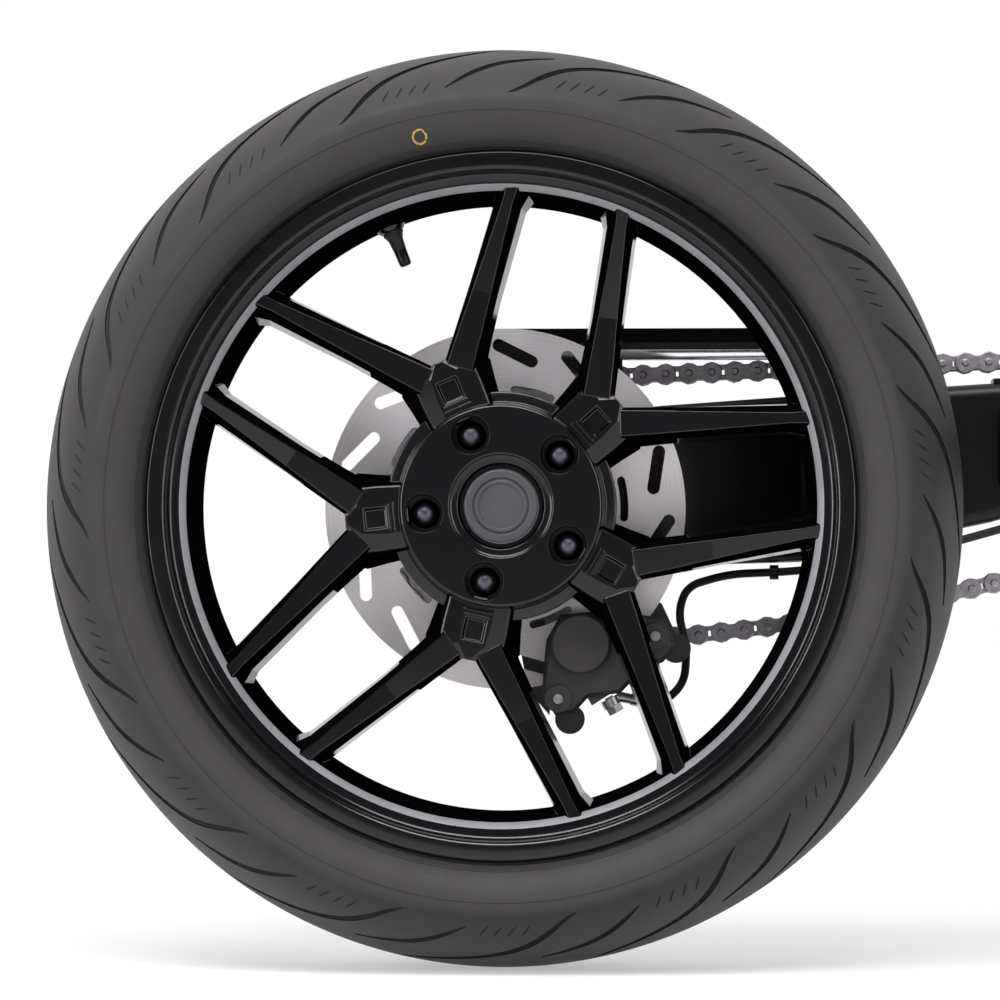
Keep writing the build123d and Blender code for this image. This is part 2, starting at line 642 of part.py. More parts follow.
def make_sprocket_nuts():
    nuts = []
    for place in around(SPROCKET_BOLT_CIRCLE, SPROCKET_BOLTS, 0):
        stud = rod(SPROCKET_BOLT_RADIUS, sprocket_back - 4, sprocket_front + CARRIER_FLANGE - 0.5, place)
        nuts.append(stud + hexagon(7.0, sprocket_back - 7, sprocket_back, place))
    return together(nuts)


def chain_layout():
    """Pin places round both sprockets, the front sprocket's centre and its tooth angle."""
    rear_radius = PITCH / 2 / sin(pi / REAR_TEETH)
    front_radius = PITCH / 2 / sin(pi / FRONT_TEETH)
    top = 90 + CHAIN_RISE
    run = UPPER_PITCHES * PITCH
    rise = radians(CHAIN_RISE)
    lift = rear_radius - front_radius
    front = (run * cos(rise) - lift * sin(rise), run * sin(rise) + lift * cos(rise))
    rear_pins = [polar(rear_radius, top + 360 / REAR_TEETH * step) for step in range(REAR_WRAP, -1, -1)]
    upper_start = rear_pins[-1]
    upper_pins = [
        (upper_start[0] + PITCH * step * cos(rise), upper_start[1] + PITCH * step * sin(rise))
        for step in range(1, UPPER_PITCHES)
    ]
    front_pins = []
    for step in range(FRONT_WRAP + 1):
        pin = polar(front_radius, top - 360 / FRONT_TEETH * step)
        front_pins.append((front[0] + pin[0], front[1] + pin[1]))
    start, end = front_pins[-1], rear_pins[0]
    chord = hypot(end[0] - start[0], end[1] - start[1])
    count = ceil(chord / PITCH)
    # The slack run hangs in an arc: the turn per link is found by halving
    low, high = 0.0001, 0.1
    for _ in range(40):
        turn = (low + high) / 2
        if PITCH * sin(count * turn / 2) / sin(turn / 2) > chord:
            low = turn
        else:
            high = turn
    heading = atan2(end[1] - start[1], end[0] - start[0]) + (count - 1) / 2 * turn
    lower_pins = []
    x, y = start
    for step in range(count - 1):
        x += PITCH * cos(heading)
        y += PITCH * sin(heading)
        heading -= turn
        lower_pins.append((x, y))
    pins = rear_pins + upper_pins + front_pins + lower_pins
    print("chain pitches", len(pins), "front sprocket at", front, "slack turn", degrees(turn))
    return pins, front, top


def make_chain(pins):
    """Both rows of side plates as waisted bands, joined by the rollers."""
    outside, inside, rollers = [], [], Sketch()
    for step, pin in enumerate(pins):
        before = pins[step - 1]
        after = pins[(step + 1) % len(pins)]
        run = hypot(after[0] - before[0], after[1] - before[1])
        normal = (-(after[1] - before[1]) / run, (after[0] - before[0]) / run)
        length = hypot(after[0] - pin[0], after[1] - pin[1])
        link_normal = (-(after[1] - pin[1]) / length, (after[0] - pin[0]) / length)
        middle = ((pin[0] + after[0]) / 2, (pin[1] + after[1]) / 2)
        for points, way in ((outside, 1), (inside, -1)):
            reach, waist = PLATE_HALF_HEIGHT * way, PLATE_WAIST * way
            points.append((pin[0] + normal[0] * reach, pin[1] + normal[1] * reach))
            points.append((middle[0] + link_normal[0] * waist, middle[1] + link_normal[1] * waist))
        lean = degrees(atan2(normal[1], normal[0]))
        rollers += Pos(*pin) * Rot(0, 0, lean) * RegularPolygon(ROLLER_RADIUS, 4)
    band = make_face(Polyline(*outside, close=True)) - make_face(Polyline(*inside, close=True))
    near = Pos(0, 0, CHAIN_Z + INNER_WIDTH / 2) * extrude(band, amount=PLATE_THICKNESS)
    far = Pos(0, 0, CHAIN_Z - INNER_WIDTH / 2) * extrude(band, amount=-PLATE_THICKNESS)
    return near + far + Pos(0, 0, CHAIN_Z - INNER_WIDTH / 2) * extrude(rollers, amount=INNER_WIDTH)


def make_sprocket_carrier():
    """Carrier on the axle that the rear sprocket is bolted to, with windows between its bolts."""
    face = sprocket_front
    inner = AXLE_RADIUS + RUNNING_FIT
    carrier = tube(38.0, inner, sprocket_back - 2.0, face + CARRIER_FLANGE)
    carrier += tube(SPROCKET_BOLT_CIRCLE + 8.0, inner, face, face + CARRIER_FLANGE)
    carrier += tube(SPROCKET_BORE - BOLT_FIT, inner, face - CARRIER_FLANGE, face)
    for place in around(SPROCKET_BOLT_CIRCLE, SPROCKET_BOLTS, 0):
        carrier -= rod(SPROCKET_BOLT_RADIUS + BOLT_FIT, face - 1, face + CARRIER_FLANGE + 1, place)
    return carrier


def caliper_point(beyond, angle):
    """Point by its distance beyond the disc's edge and its angle."""
    return polar(DISC_RADIUS + beyond, angle)


def make_caliper():
    """Floating caliper: near half with its piston boss and pin bosses, bridge and far half."""
    back = DISC_FACE + PAD_CLEARANCE
    near = plate([caliper_point(*point) for point in NEAR_HALF], back, CALIPER_FRONT)
    near = chamfer(near.faces().sort_by(Axis.Z)[-1].edges(), 2.5)
    piston_place = caliper_point(PISTON_BEYOND, PISTON_ANGLE)
    boss = rod(PISTON_BOSS_RADIUS, back, CALIPER_FRONT + PISTON_BOSS_PROUD, piston_place)
    near += chamfer(boss.edges().group_by(Axis.Z)[-1], 2.0)
    for angle in PIN_ANGLES:
        place = polar(pin_circle, angle)
        near += rod(PIN_BOSS_RADIUS, DISC_FACE - 3.0, CALIPER_FRONT + 3.0, place)
        near -= rod(SLIDE_PIN_RADIUS + BOLT_FIT, DISC_FACE - 4.0, CALIPER_FRONT + 4.0, place)
    low, high = BRIDGE_ANGLES
    inner, outer = BRIDGE_BEYOND
    bridge_outline = [(inner, low), (outer, low + 1.0), (outer, high - 0.5), (inner, high)]
    bridge = plate([caliper_point(*point) for point in bridge_outline], FAR_HALF[0], CALIPER_FRONT - 3.0)
    far_outline = [(-33.0, low - 3.0), (outer, low + 1.0), (outer, high - 0.5), (-33.0, high + 2.5)]
    far = plate([caliper_point(*point) for point in far_outline], *FAR_HALF)
    return near + bridge + far


def make_pads():
    # Distance beyond the disc's edge, angle
    corners = ((-29.0, -68.0), (-3.0, -66.0), (-3.0, -51.0), (-29.0, -49.0))
    outline = [caliper_point(*point) for point in corners]
    pads = []
    for low, high in (
        (DISC_FACE + SEAT_GAP, DISC_FACE + PAD_CLEARANCE - SEAT_GAP),
        (FAR_HALF[1] + SEAT_GAP, disc_back - SEAT_GAP),
    ):
        pads.append(plate(outline, low, high))
    return together(pads)


def make_bracket():
    """Bracket round the hub's nose, with a tapered arm and a lobe at each slide pin."""
    low, high = BRACKET_Z
    bore = CARRIER_NOSE_RADIUS + RUNNING_FIT
    bracket = tube(CARRIER_NOSE_RADIUS + 12.0, bore, low, high)
    for angle, lean in zip(PIN_ANGLES, (-1.0, 1.0)):
        foot_radius, tip_radius = CARRIER_NOSE_RADIUS + 5.0, pin_circle - 9.0
        arm = [
            polar(foot_radius, angle + 16.0 * lean),
            polar(foot_radius, angle - 16.0 * lean),
            polar(tip_radius, angle + 1.6 * lean),
            polar(pin_circle + LOBE_RADIUS, angle + 4.0 * lean),
            polar(tip_radius, angle + 9.0 * lean),
        ]
        bracket += plate(arm, low, high)
        bracket += rod(LOBE_RADIUS, low, high, polar(pin_circle, angle))
        bracket += rod(LOBE_RADIUS, low, high, polar(pin_circle + BRACKET_LOBE, angle + 1.0))
        bracket -= rod(SLIDE_PIN_RADIUS + BOLT_FIT, low - 1, high + 1, polar(pin_circle, angle))
    return bracket - rod(bore, low - 1, high + 1)


def make_pins_and_boots():
    pins, boots = [], []
    boot_low, boot_high = BRACKET_Z[1] + SEAT_GAP, DISC_FACE - 3.0 - SEAT_GAP
    for angle in PIN_ANGLES:
        place = polar(pin_circle, angle)
        pins.append(rod(SLIDE_PIN_RADIUS, BRACKET_Z[0], CALIPER_FRONT + 5.0, place))
        boot = tube(PIN_BOSS_RADIUS - 1.0, SLIDE_PIN_RADIUS + BOLT_FIT, boot_low, boot_high)
        boots.append(Pos(place[0], place[1], 0) * boot)
    return together(pins), together(boots)


def make_hose():
    """Brake hose from the caliper's banjo, under the arm to its pivot, as runs joined by tangent arcs."""
    banjo = caliper_point(BANJO_BEYOND, BANJO_ANGLE)
    route = [(banjo[0] + forward, banjo[1] + above, z) for forward, above, z in HOSE_START]
    route += [
        (120, -118, -52),
        (122, -94, -60),
        (116, -70, -68),
        (122, -52, -78),
        (150, -43.5, -88),
        (200, -41.5, -91),
        (262, -33, -91),
        (322, -17, -91),
        (380, 0, -90),
        (425, 11, -88),
        (462, 20, -86),
    ]
    points = [Vector(*point) for point in route]
    radii = []
    for before, corner, after in zip(points, points[1:], points[2:]):
        turn = radians((corner - before).get_angle(after - corner))
        shorter = min((corner - before).length, (after - corner).length)
        radii.append(0.45 * shorter / tan(turn / 2))
    print("hose radii", [round(radius) for radius in radii])
    path = FilletPolyline(*route, radius=radii)
    start = Plane(origin=path @ 0, z_dir=path % 0)
    hose = sweep(start * Circle(HOSE_RADIUS), path=path)
    print("hose length", round(path.length, 1), "volume", hose.volume / (pi * HOSE_RADIUS**2 * path.length))
    return hose, route


def make_guard():
    """Chain guard over the upper run: a channel with faceted sides, and its two feet on the arm."""
    # Channel section: z, y
    section = (
        (-96.0, 104.0),
        (-94.0, 116.0),
        (-98.0, 126.0),
        (-126.0, 126.0),
        (-130.0, 110.0),
        (-127.5, 110.0),
        (-124.0, 123.5),
        (-99.5, 123.5),
        (-96.5, 116.0),
        (-98.2, 104.0),
    )
    frame = Plane(origin=(GUARD_START, 0, 0), x_dir=(0, 0, 1), z_dir=(1, 0, 0))
    outline = Polyline(*[(z, -y) for z, y in section], close=True)
    channel = extrude(frame * make_face(outline), amount=GUARD_LENGTH)
    # Tongue that takes the near wall down beside the sprocket
    wall_z, wall_low = (section[-1][0], section[0][0]), section[0][1]
    tongue_end, tongue_low = GUARD_START + GUARD_TONGUE[0], wall_low - GUARD_TONGUE[1]
    tongue = [
        (GUARD_START, tongue_low), (tongue_end, tongue_low),
        (tongue_end + GUARD_TONGUE[1], wall_low), (GUARD_START, wall_low),
    ]
    channel += plate(tongue, *wall_z)
    rear_x, front_x = GUARD_START + GUARD_FEET[0], GUARD_START + GUARD_LENGTH - GUARD_FEET[1]
    half, hole = 10.0, GUARD_BOLT_RADIUS + BOLT_FIT
    channel_low = 107.0
    # Rear foot on the beam's left face
    face = BEAM[0][3]
    strap = [(-half, 58.0), (half, 58.0), (half, channel_low), (-half, channel_low)]
    bend_low = channel_low - 3.0
    joggle = [(-half, bend_low), (half, bend_low), (half, channel_low), (-half, channel_low)]
    rear = Pos(rear_x, 0, 0) * plate(strap, face - 2.3 - GUARD_FOOT, face - 2.3)
    rear += Pos(rear_x, 0, 0) * plate(joggle, face - 2.3, face + 0.5)
    rear -= rod(hole, face - 10, face + 10, (rear_x, 72))
    # Front foot: a flat toe on the beam's top
    toe_low = beam_edge(front_x + half, 2) + SEAT_GAP
    toe_high = toe_low + GUARD_FOOT
    leg_z, toe_z = SLIDER_Z[1] - 7.4, -85.0
    leg = [(-half, toe_low), (half, toe_low), (half, channel_low), (-half, channel_low)]
    toe = [(-half, toe_low), (half, toe_low), (half, toe_high), (-half, toe_high)]
    front = Pos(front_x, 0, 0) * plate(leg, leg_z - GUARD_FOOT, leg_z)
    front += Pos(front_x, 0, 0) * plate(toe, leg_z - GUARD_FOOT, toe_z)
    bolt_z = (leg_z + toe_z) / 2
    front -= Pos(front_x, toe_low, bolt_z) * Rot(90, 0, 0) * Cylinder(hole, 20)
    screw = rod(GUARD_BOLT_RADIUS, -GUARD_FOOT, 0) + rod(1.5 * GUARD_BOLT_RADIUS, 0, GUARD_BOLT_RADIUS)
    bolts = [
        Pos(rear_x, 72, face - 2.3 - GUARD_FOOT) * Rot(180, 0, 0) * screw,
        Pos(front_x, toe_high, bolt_z) * Rot(-90, 0, 0) * screw,
    ]
    return channel + rear + front, together(bolts)


def make_slider():
    """Wear strip that the slack chain rubs on, along the top of the beam."""
    start, end = SLIDER_ENDS
    lower = [(start, beam_edge(start, 2)), (BEAM[4][0], BEAM[4][2]), (end, beam_edge(end, 2))]
    low_side = [(x, y + SEAT_GAP) for x, y in lower]
    high_side = [(x, y + SEAT_GAP + SLIDER_THICKNESS) for x, y in reversed(lower)]
    return plate(low_side + high_side, *SLIDER_Z)


def make_banjo(route):
    """Banjo eye and bolt on the caliper's bridge, with the hose's neck."""
    centre = caliper_point(BANJO_BEYOND, BANJO_ANGLE)
    outward = polar(1.0, BANJO_ANGLE)
    origin = (centre[0], centre[1], FAR_HALF[0] + 6.0)
    frame = Plane(origin=origin, x_dir=(0, 0, 1), z_dir=(outward[0], outward[1], 0))
    eye = tube(6.5, 2.9, 0.3, 6.0) + rod(3.0, -0.7, 6.0) + hexagon(6.0, 6.0, 11.0)
    first, second = Vector(*route[0]), Vector(*route[1])
    neck_plane = Plane(origin=route[0], z_dir=(second - first).normalized())
    neck = rod(HOSE_RADIUS + 0.7, -10.0, 0.0) + tube(HOSE_RADIUS + 1.4, HOSE_RADIUS + 0.1, 0.0, 7.0)
    return frame.location * eye + neck_plane.location * neck


def make_clips(route):
    """Ring clips that hold the hose under the beam, with their pegs."""
    clips = []
    beam_start = BEAM[1][0]
    for x in CLIP_PLACES:
        for before, after in zip(route, route[1:]):
            if before[0] <= x <= after[0] and before[0] > beam_start:
                share = (x - before[0]) / (after[0] - before[0])
                y = before[1] + share * (after[1] - before[1])
                z = before[2] + share * (after[2] - before[2])
        frame = Plane(origin=(x - 3.0, y, z), x_dir=(0, 1, 0), z_dir=(1, 0, 0))
        ring = frame.location * tube(HOSE_RADIUS + 2.2, HOSE_RADIUS + 0.9, 0, 6.0)
        tab = Pos(x, y, z - 7.0) * Box(6.0, 3.0, 6.0)
        peg = Pos(x, y, z - 12.0) * Rot(90, 0, 0) * Cylinder(HOSE_RADIUS, 7.0)
        clips.append(ring + tab + peg)
    return together(clips)


def make_hose_end(route):
    """Union nut and pipe stub that end the hose beside the pivot."""
    heading = (Vector(*route[-1]) - Vector(*route[-2])).normalized()
    frame = Plane(origin=route[-1], z_dir=heading)
    return frame.location * (rod(4.5, 0.0, 8.0) + hexagon(5.5, 8.0, 15.0) + rod(3.0, 15.0, 20.0))


def make_bleed_nipple():
    angle = BRIDGE_ANGLES[1] - 4.0
    centre = polar(DISC_RADIUS + BRIDGE_BEYOND[1] + 0.3, angle)
    outward = polar(1.0, angle)
    frame = Plane(origin=(centre[0], centre[1], FAR_HALF[0] + 6.0), z_dir=(outward[0], outward[1], 0))
    return frame.location * (rod(4.0, 0, 4.0) + rod(2.8, 4.0, 12.0))


def make_axle_nut():
    nut = extrude(RegularPolygon(AXLE_NUT_WIDTH / 2, 6, major_radius=False), amount=AXLE_NUT_HEIGHT)
    nut -= rod(AXLE_NUT_THREAD + RUNNING_FIT, -1, AXLE_NUT_HEIGHT + 1)
    return Pos(0, 0, sprocket_back - 2.0 - AXLE_NUT_HEIGHT) * nut


os.makedirs("parts", exist_ok=True)

# Turning body
save("tyre", make_tyre())
save("cast_wheel", make_cast_wheel())
valve_stem, valve_cap = make_valve()
save("valve_stem", valve_stem)
save("valve_cap", valve_cap)
save("wheel_bolts", make_wheel_bolts())
save("centre_cap", make_centre_cap())
save("wheel_axle", make_axle())
save("brake_disc", make_disc())
save("disc_bolts", make_disc_bolts())
save("sprocket_carrier", make_sprocket_carrier())
pins, front_centre, tooth_angle = chain_layout()
save("rear_sprocket", make_rear_sprocket(tooth_angle))
save("sprocket_nuts", make_sprocket_nuts())
save("axle_nut", make_axle_nut())

# Swingarm body
swingarm = make_arm()
save("swingarm", swingarm)
save("pivot_tube", make_pivot_tube())
save("cross_member", make_cross_member(swingarm))
save("right_arm", make_right_arm())
save("shock_clevis", make_shock_clevis())
save("pivot_sleeve", make_pivot_sleeve())
save("pivot_seals", make_pivot_seals())
save("eccentric_hub", make_carrier())
save("pinch_bolts", make_pinch_bolts())
save("drive_chain", make_chain(pins))
front_sprocket = Rot(0, 0, tooth_angle) * make_sprocket(FRONT_TEETH, FRONT_SPLINE_RADIUS)
save("front_sprocket", Pos(*front_centre, CHAIN_Z) * front_sprocket)
save("brake_caliper", make_caliper())
save("brake_pads", make_pads())
save("caliper_bracket", make_bracket())
slide_pins, pin_boots = make_pins_and_boots()
save("slide_pins", slide_pins)
save("pin_boots", pin_boots)
hose, hose_route = make_hose()
save("brake_hose", hose)
guard, guard_bolts = make_guard()
save("chain_guard", guard)
save("guard_bolts", guard_bolts)
save("chain_slider", make_slider())
save("banjo_fitting", make_banjo(hose_route))
save("hose_clips", make_clips(hose_route))
save("hose_end", make_hose_end(hose_route))
save("bleed_nipple", make_bleed_nipple())
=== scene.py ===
import json
from math import atan2, ceil, cos, hypot, pi, radians, sin, sqrt

import bpy
from mathutils import Matrix, Vector


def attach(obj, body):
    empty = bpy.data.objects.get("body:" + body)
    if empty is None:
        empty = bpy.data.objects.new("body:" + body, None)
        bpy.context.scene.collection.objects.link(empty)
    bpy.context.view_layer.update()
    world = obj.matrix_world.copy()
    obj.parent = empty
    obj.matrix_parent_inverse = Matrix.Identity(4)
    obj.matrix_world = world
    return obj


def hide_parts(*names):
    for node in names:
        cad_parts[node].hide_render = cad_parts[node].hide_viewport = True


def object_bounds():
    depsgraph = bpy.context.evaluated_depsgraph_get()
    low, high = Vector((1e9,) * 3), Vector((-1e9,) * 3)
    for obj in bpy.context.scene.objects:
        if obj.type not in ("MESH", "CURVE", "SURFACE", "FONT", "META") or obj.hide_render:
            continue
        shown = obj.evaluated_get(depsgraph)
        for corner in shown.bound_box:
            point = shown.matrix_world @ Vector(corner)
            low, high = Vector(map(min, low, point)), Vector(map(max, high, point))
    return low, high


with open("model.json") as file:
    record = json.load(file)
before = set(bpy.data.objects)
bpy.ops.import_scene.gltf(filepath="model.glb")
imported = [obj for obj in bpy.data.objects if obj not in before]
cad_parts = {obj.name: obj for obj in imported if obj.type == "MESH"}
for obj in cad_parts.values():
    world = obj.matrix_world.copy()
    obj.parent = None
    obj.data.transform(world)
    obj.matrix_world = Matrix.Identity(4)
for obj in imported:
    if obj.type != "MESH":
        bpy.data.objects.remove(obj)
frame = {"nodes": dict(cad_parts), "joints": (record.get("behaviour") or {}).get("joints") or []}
cad_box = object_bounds()

# Rear wheel of a motorcycle on its single-sided swingarm. Sizes are in millimetres in the side frame:
# x forward, y up and z out to the rider's right, from the wheel's centre. spot() turns them into metres.
MM = 0.001
axle = Vector(frame["joints"][0]["pos_m"])
ACROSS = Vector((0, 1, 0))

# Tyre
TYRE_RADIUS = 304.0
TYRE_HALF_WIDTH = 75.0
TREAD_EDGE = 265.0
WALL_CENTRE = (262.0, 50.0)
WALL_REACH = (29.0, 25.0)
BEAD_RADIUS = 218.8
BEAD_FACE = 53.2
BEAD_WIDTH = 13.0
WHEEL_STEPS = 288
PITCHES = 15
# Fine ribs moulded on the wall: degrees from the tread's edge, height
WALL_RIBS = {72: 0.5, 66: 0.5, 60: 0.5, 12: 0.4}
# Groove paths from shoulder to crown: degrees along the tread, place across it, half width, sunk by. Their
# ends are the angles at which they start in the first pitch. A sipe is a short slit across the shoulder.
LONG_GROOVE = (
    (1.2, 73.4, 0.6, 0.2), (-0.4, 71.0, 1.8, 0.7), (-3.4, 60.9, 2.9, 1.1), (-6.4, 51.2, 3.1, 1.2),
    (-10.8, 42.2, 3.0, 1.2), (-16.0, 34.0, 2.8, 1.1), (-21.0, 23.0, 2.4, 1.0), (-24.0, 12.0, 1.3, 0.6),
)
SHORT_GROOVE = (
    (1.2, 68.4, 0.6, 0.2), (0.0, 65.4, 1.6, 0.6), (-2.6, 57.8, 2.7, 1.0), (-5.8, 49.4, 2.9, 1.1),
    (-9.4, 44.0, 2.5, 1.0), (-13.0, 38.6, 1.2, 0.5),
)
LONG_GROOVE_END = 63.5
SHORT_GROOVE_END = 72.2
SIPE = ((0.0, 69.6, 0.3, 0.0), (-0.35, 67.6, 0.8, 0.1), (-0.9, 64.8, 0.8, 0.1), (-1.2, 62.6, 0.3, 0.0))
SIPE_PLACES = (172.5, 174.4, 176.3, 178.2)
# Small ring of paint on the right wall: radius and angle of its middle
PAINT_RING_PLACE = (244.3, 102.2)
PAINT_RING_RADIUS = 4.3
PAINT_RING_HALF_WIDTH = 0.65

# Cast wheel
RIM_RADIUS = 232.3
RIM_HALF_WIDTH = 58.0
BEAD_SEAT = 218.5
WINDOW_RADIUS = 201.0
# Ledge between the windows and the lip, which carries a painted highlight
LEDGE_RADII = (206.3, 210.6)
LEDGE_Z = (43.5, 48.0)
HUB_FACE = 44.0
HUB_FACE_RADIUS = 66.0
HUB_RADIUS = 75.5
CAP_RECESS_RADIUS = 33.5
ROOTS = 5
ROOT_ANGLE = 41.7
BOLT_CIRCLE = 50.8
BOLT_ANGLE = 41.4
BOLT_HOLE_RADIUS = 11.8
BOLT_HOLE_DEPTH = 20.0
VALVE_ANGLE = 111.9
# Root sections: place along the root, half widths of its flat middle, its shoulders and its foot
ROOT_SECTIONS = (
    (61.0, 10.0, 20.0, 27.0), (80.0, 10.5, 21.0, 29.6), (94.0, 9.0, 21.0, 32.0), (103.0, 2.0, 4.0, 12.0),
)
# Pocket in a root: from and to along it, then z and half width at its mouth and at its floor
POCKET_ENDS = (76.0, 90.0)
POCKET_SECTIONS = ((39.0, 7.0), (34.0, 6.2))
# Bars behind the pocket: place along the root, half length, top
BARS = ((73.6, 8.6, 39.0), (70.2, 9.4, 39.2))
BAR_HALF_WIDTH = 0.8
BAR_FOOT = 33.0
SPOKE_START = (94.0, 11.5)
SPOKE_SPREAD = 25.8
SPOKE_REACH = 209.8
# Painted shade, matt near-black without gloss, covers the spokes' faces whose normal has less than SLOPED
# along the axle, apart from tiny faces (in square metres). Steep walls, with less than STEEP, stay gloss
# beyond DARK_FLANKS from the axle.
SLOPED = 0.75
STEEP = 0.3
DARK_FLANKS = 128.0
TINY_FACE = 4e-6
# Spoke sections: place along its run, face width, edge bevel, bevel drop, flank towards the next root,
# flank towards its own pair's window, front z, back z
SPOKE_SECTIONS = (
    (0.0, 17.0, 1.4, 2.6, 6.0, 1.5, 38.2, 13.0),
    (0.2, 15.2, 1.6, 3.2, 4.6, 1.8, 38.8, 13.0),
    (0.3, 14.0, 1.8, 3.8, 4.3, 2.1, 39.2, 12.0),
    (0.42, 12.6, 2.0, 4.5, 4.0, 2.4, 39.5, 11.0),
    (0.9, 7.0, 3.0, 6.0, 5.6, 4.2, 45.0, 14.0),
    (1.0, 8.0, 3.4, 6.0, 9.5, 8.5, 46.2, 14.0),
)

# Chain
PITCH = 15.875
REAR_TEETH = 36
FRONT_TEETH = 14
CHAIN_RISE = 2.0
UPPER_PITCHES = 36
REAR_WRAP = 18
FRONT_WRAP = 6
CHAIN_Z = -112.0
# Link plates: radius of their ends, half height of their waist. Reaches are from the chain's middle plane.
OUTER_PLATE = (7.25, 4.85)
INNER_PLATE = (6.6, 5.2)
PLATE_END_TURN = 118.0
PLATE_THICKNESS = 1.9
PLATE_GAP = 0.2
OUTER_PLATE_REACH = 6.1
WINDOW_IN_PLATE = 2.0
ROLLER_RADIUS = 5.08
ROLLER_REACH = 4.0
PIN_RADIUS = 2.6
PIN_REACH = 9.0

# Lip along the chain guard's foot: from and to along x, and its section as (z, y) places
GUARD_LIP_ENDS = (27.0, 267.9)
GUARD_LIP_SECTION = (
    (-96.1, 111.2), (-92.9, 111.2), (-92.4, 110.7), (-93.7, 104.7), (-94.3, 104.1), (-96.1, 104.1),
)

# Stage, lamps and camera, in metres in the row frame
FLOOR_SIZE = 14.0
FLOOR_MIDDLE = 2.5
FLOOR_GAP = 0.0005
# The floor's white glow is weaker near the wheel, so that its shadow shows: distances and weakest glow
FLOOR_FADE = (0.3, 0.9)
FLOOR_GLOW = 0.4
# The room is dim on the viewer's side and white behind the object: Y of a view's direction, dimmest light
ROOM_FADE = (-0.35, 0.5)
ROOM_LIGHT = 0.16
BACKDROP_EDGE = 0.15
# Lamps that face the axle: name, place, size, watts. The strips give the gloss paint its thin glints.
LAMPS = (
    ("softbox_above", (-0.7, -1.2, 1.9), (2.0, 1.2), 60.0),
    ("softbox_left", (-2.6, -1.6, 0.4), (1.0, 1.6), 30.0),
    ("softbox_right", (1.6, -2.0, 0.5), (1.0, 1.6), 18.0),
    ("strip_left", (-2.3, -1.0, 0.3), (0.08, 1.9), 7.0),
    ("strip_top", (-0.9, -0.8, 1.7), (1.7, 0.07), 6.0),
    ("strip_right", (1.2, -0.9, 0.1), (0.07, 1.5), 5.0),
)
CAMERA_PLACE = (-0.3927, -2.600, -0.1277)
CAMERA_AIM = (-0.5023, 0.0, -0.0550)
CAMERA_LENS = 141.07


def spot(x, y, z):
    """A place in the side frame, in millimetres, as one in the row frame, in metres."""
    return axle + Vector((x, -z, y)) * MM


def polar(radius, angle, z=0.0):
    """A place at a radius and an angle round the axle, counted from forward to up."""
    return spot(radius * cos(radians(angle)), radius * sin(radians(angle)), z)


def crown_radius(z):
    """The tyre's outside radius at z from its centre plane."""
    drop = TYRE_RADIUS - TREAD_EDGE
    bend = (TYRE_HALF_WIDTH**2 + drop**2) / (2 * drop)
    return TYRE_RADIUS - bend + sqrt(bend**2 - z**2)


def arc(centre, radius, first, last, steps):
    """Points of an arc about a centre, between two angles in degrees."""
    turns = [radians(first + (last - first) * step / steps) for step in range(steps + 1)]
    return [(centre[0] + radius * cos(turn), centre[1] + radius * sin(turn)) for turn in turns]


def circle(radius, steps, x=0.0):
    """Points of a whole circle about (x, 0)."""
    return arc((x, 0.0), radius, 0, 360, steps)[:-1]


# Modelling steps
def pick_nothing():
    """Leave edit mode and select nothing."""
    if bpy.context.object and bpy.context.object.mode != "OBJECT":
        bpy.ops.object.mode_set(mode="OBJECT")
    bpy.ops.object.select_all(action="DESELECT")


def pick_only(*pieces):
    """Select some pieces, the last of them active."""
    pick_nothing()
    for piece in pieces:
        piece.select_set(True)
    bpy.context.view_layer.objects.active = pieces[-1]


def start_line(name, points, closed=False):
    """A piece that starts as one point and is extruded along a line of points."""
    pick_nothing()
    bpy.ops.mesh.primitive_plane_add(size=MM)
    piece = bpy.context.object
    piece.name = name
    bpy.ops.object.mode_set(mode="EDIT")
    bpy.ops.mesh.merge(type="CENTER")
    bpy.ops.transform.translate(value=points[0])
    for before, after in zip(points, points[1:]):
        bpy.ops.mesh.extrude_region_move(TRANSFORM_OT_translate={"value": after - before})
    bpy.ops.mesh.select_all(action="SELECT")
    if closed:
        bpy.ops.mesh.edge_face_add()
    return piece


def lathe(name, outline, steps):
    """Spin a closed outline of (radius, z) points about the wheel's axle."""
    points = [polar(radius, 0, z) for radius, z in outline]
    piece = start_line(name, [*points, points[0]])
    bpy.ops.mesh.spin(steps=steps, angle=2 * pi, center=axle, axis=ACROSS)
    tidy_skin()
    return piece


def tidy_skin():
    """Merge doubles and turn all faces outwards."""
    bpy.ops.mesh.select_all(action="SELECT")
    bpy.ops.mesh.remove_doubles(threshold=0.01 * MM)
    bpy.ops.mesh.normals_make_consistent(inside=False)
    bpy.ops.object.mode_set(mode="OBJECT")


def plate(name, outline, low, high):
    """A flat plate between two z planes from an outline of (x, y) points."""
    piece = start_line(name, [spot(x, y, low) for x, y in outline], closed=True)
    bpy.ops.mesh.extrude_region_move(TRANSFORM_OT_translate={"value": (0, (low - high) * MM, 0)})
    tidy_skin()
    return piece


def bevel_edges(piece, width, segments, angle):
    """Round the edges that are sharper than an angle in degrees."""
    bevel = piece.modifiers.new("rounded edges", "BEVEL")
    bevel.width = width * MM
    bevel.segments = segments
    bevel.limit_method = "ANGLE"
    bevel.angle_limit = radians(angle)
    pick_only(piece)
    bpy.ops.object.modifier_apply(modifier=bevel.name)


def smooth(piece, angle):
    """Shade smooth, apart from edges sharper than an angle in degrees."""
    pick_only(piece)
    bpy.ops.object.shade_smooth_by_angle(angle=radians(angle))


def twin(piece, move):
    """A copy of a piece with its own mesh, moved by a matrix."""
    copy = piece.copy()
    copy.data = piece.data.copy()
    copy.data.transform(move)
    bpy.context.scene.collection.objects.link(copy)
    return copy


def join(name, pieces):
    """Pieces joined into one mesh."""
    pick_only(*pieces)
    bpy.ops.object.join()
    joined = bpy.context.object
    joined.name = name
    return joined


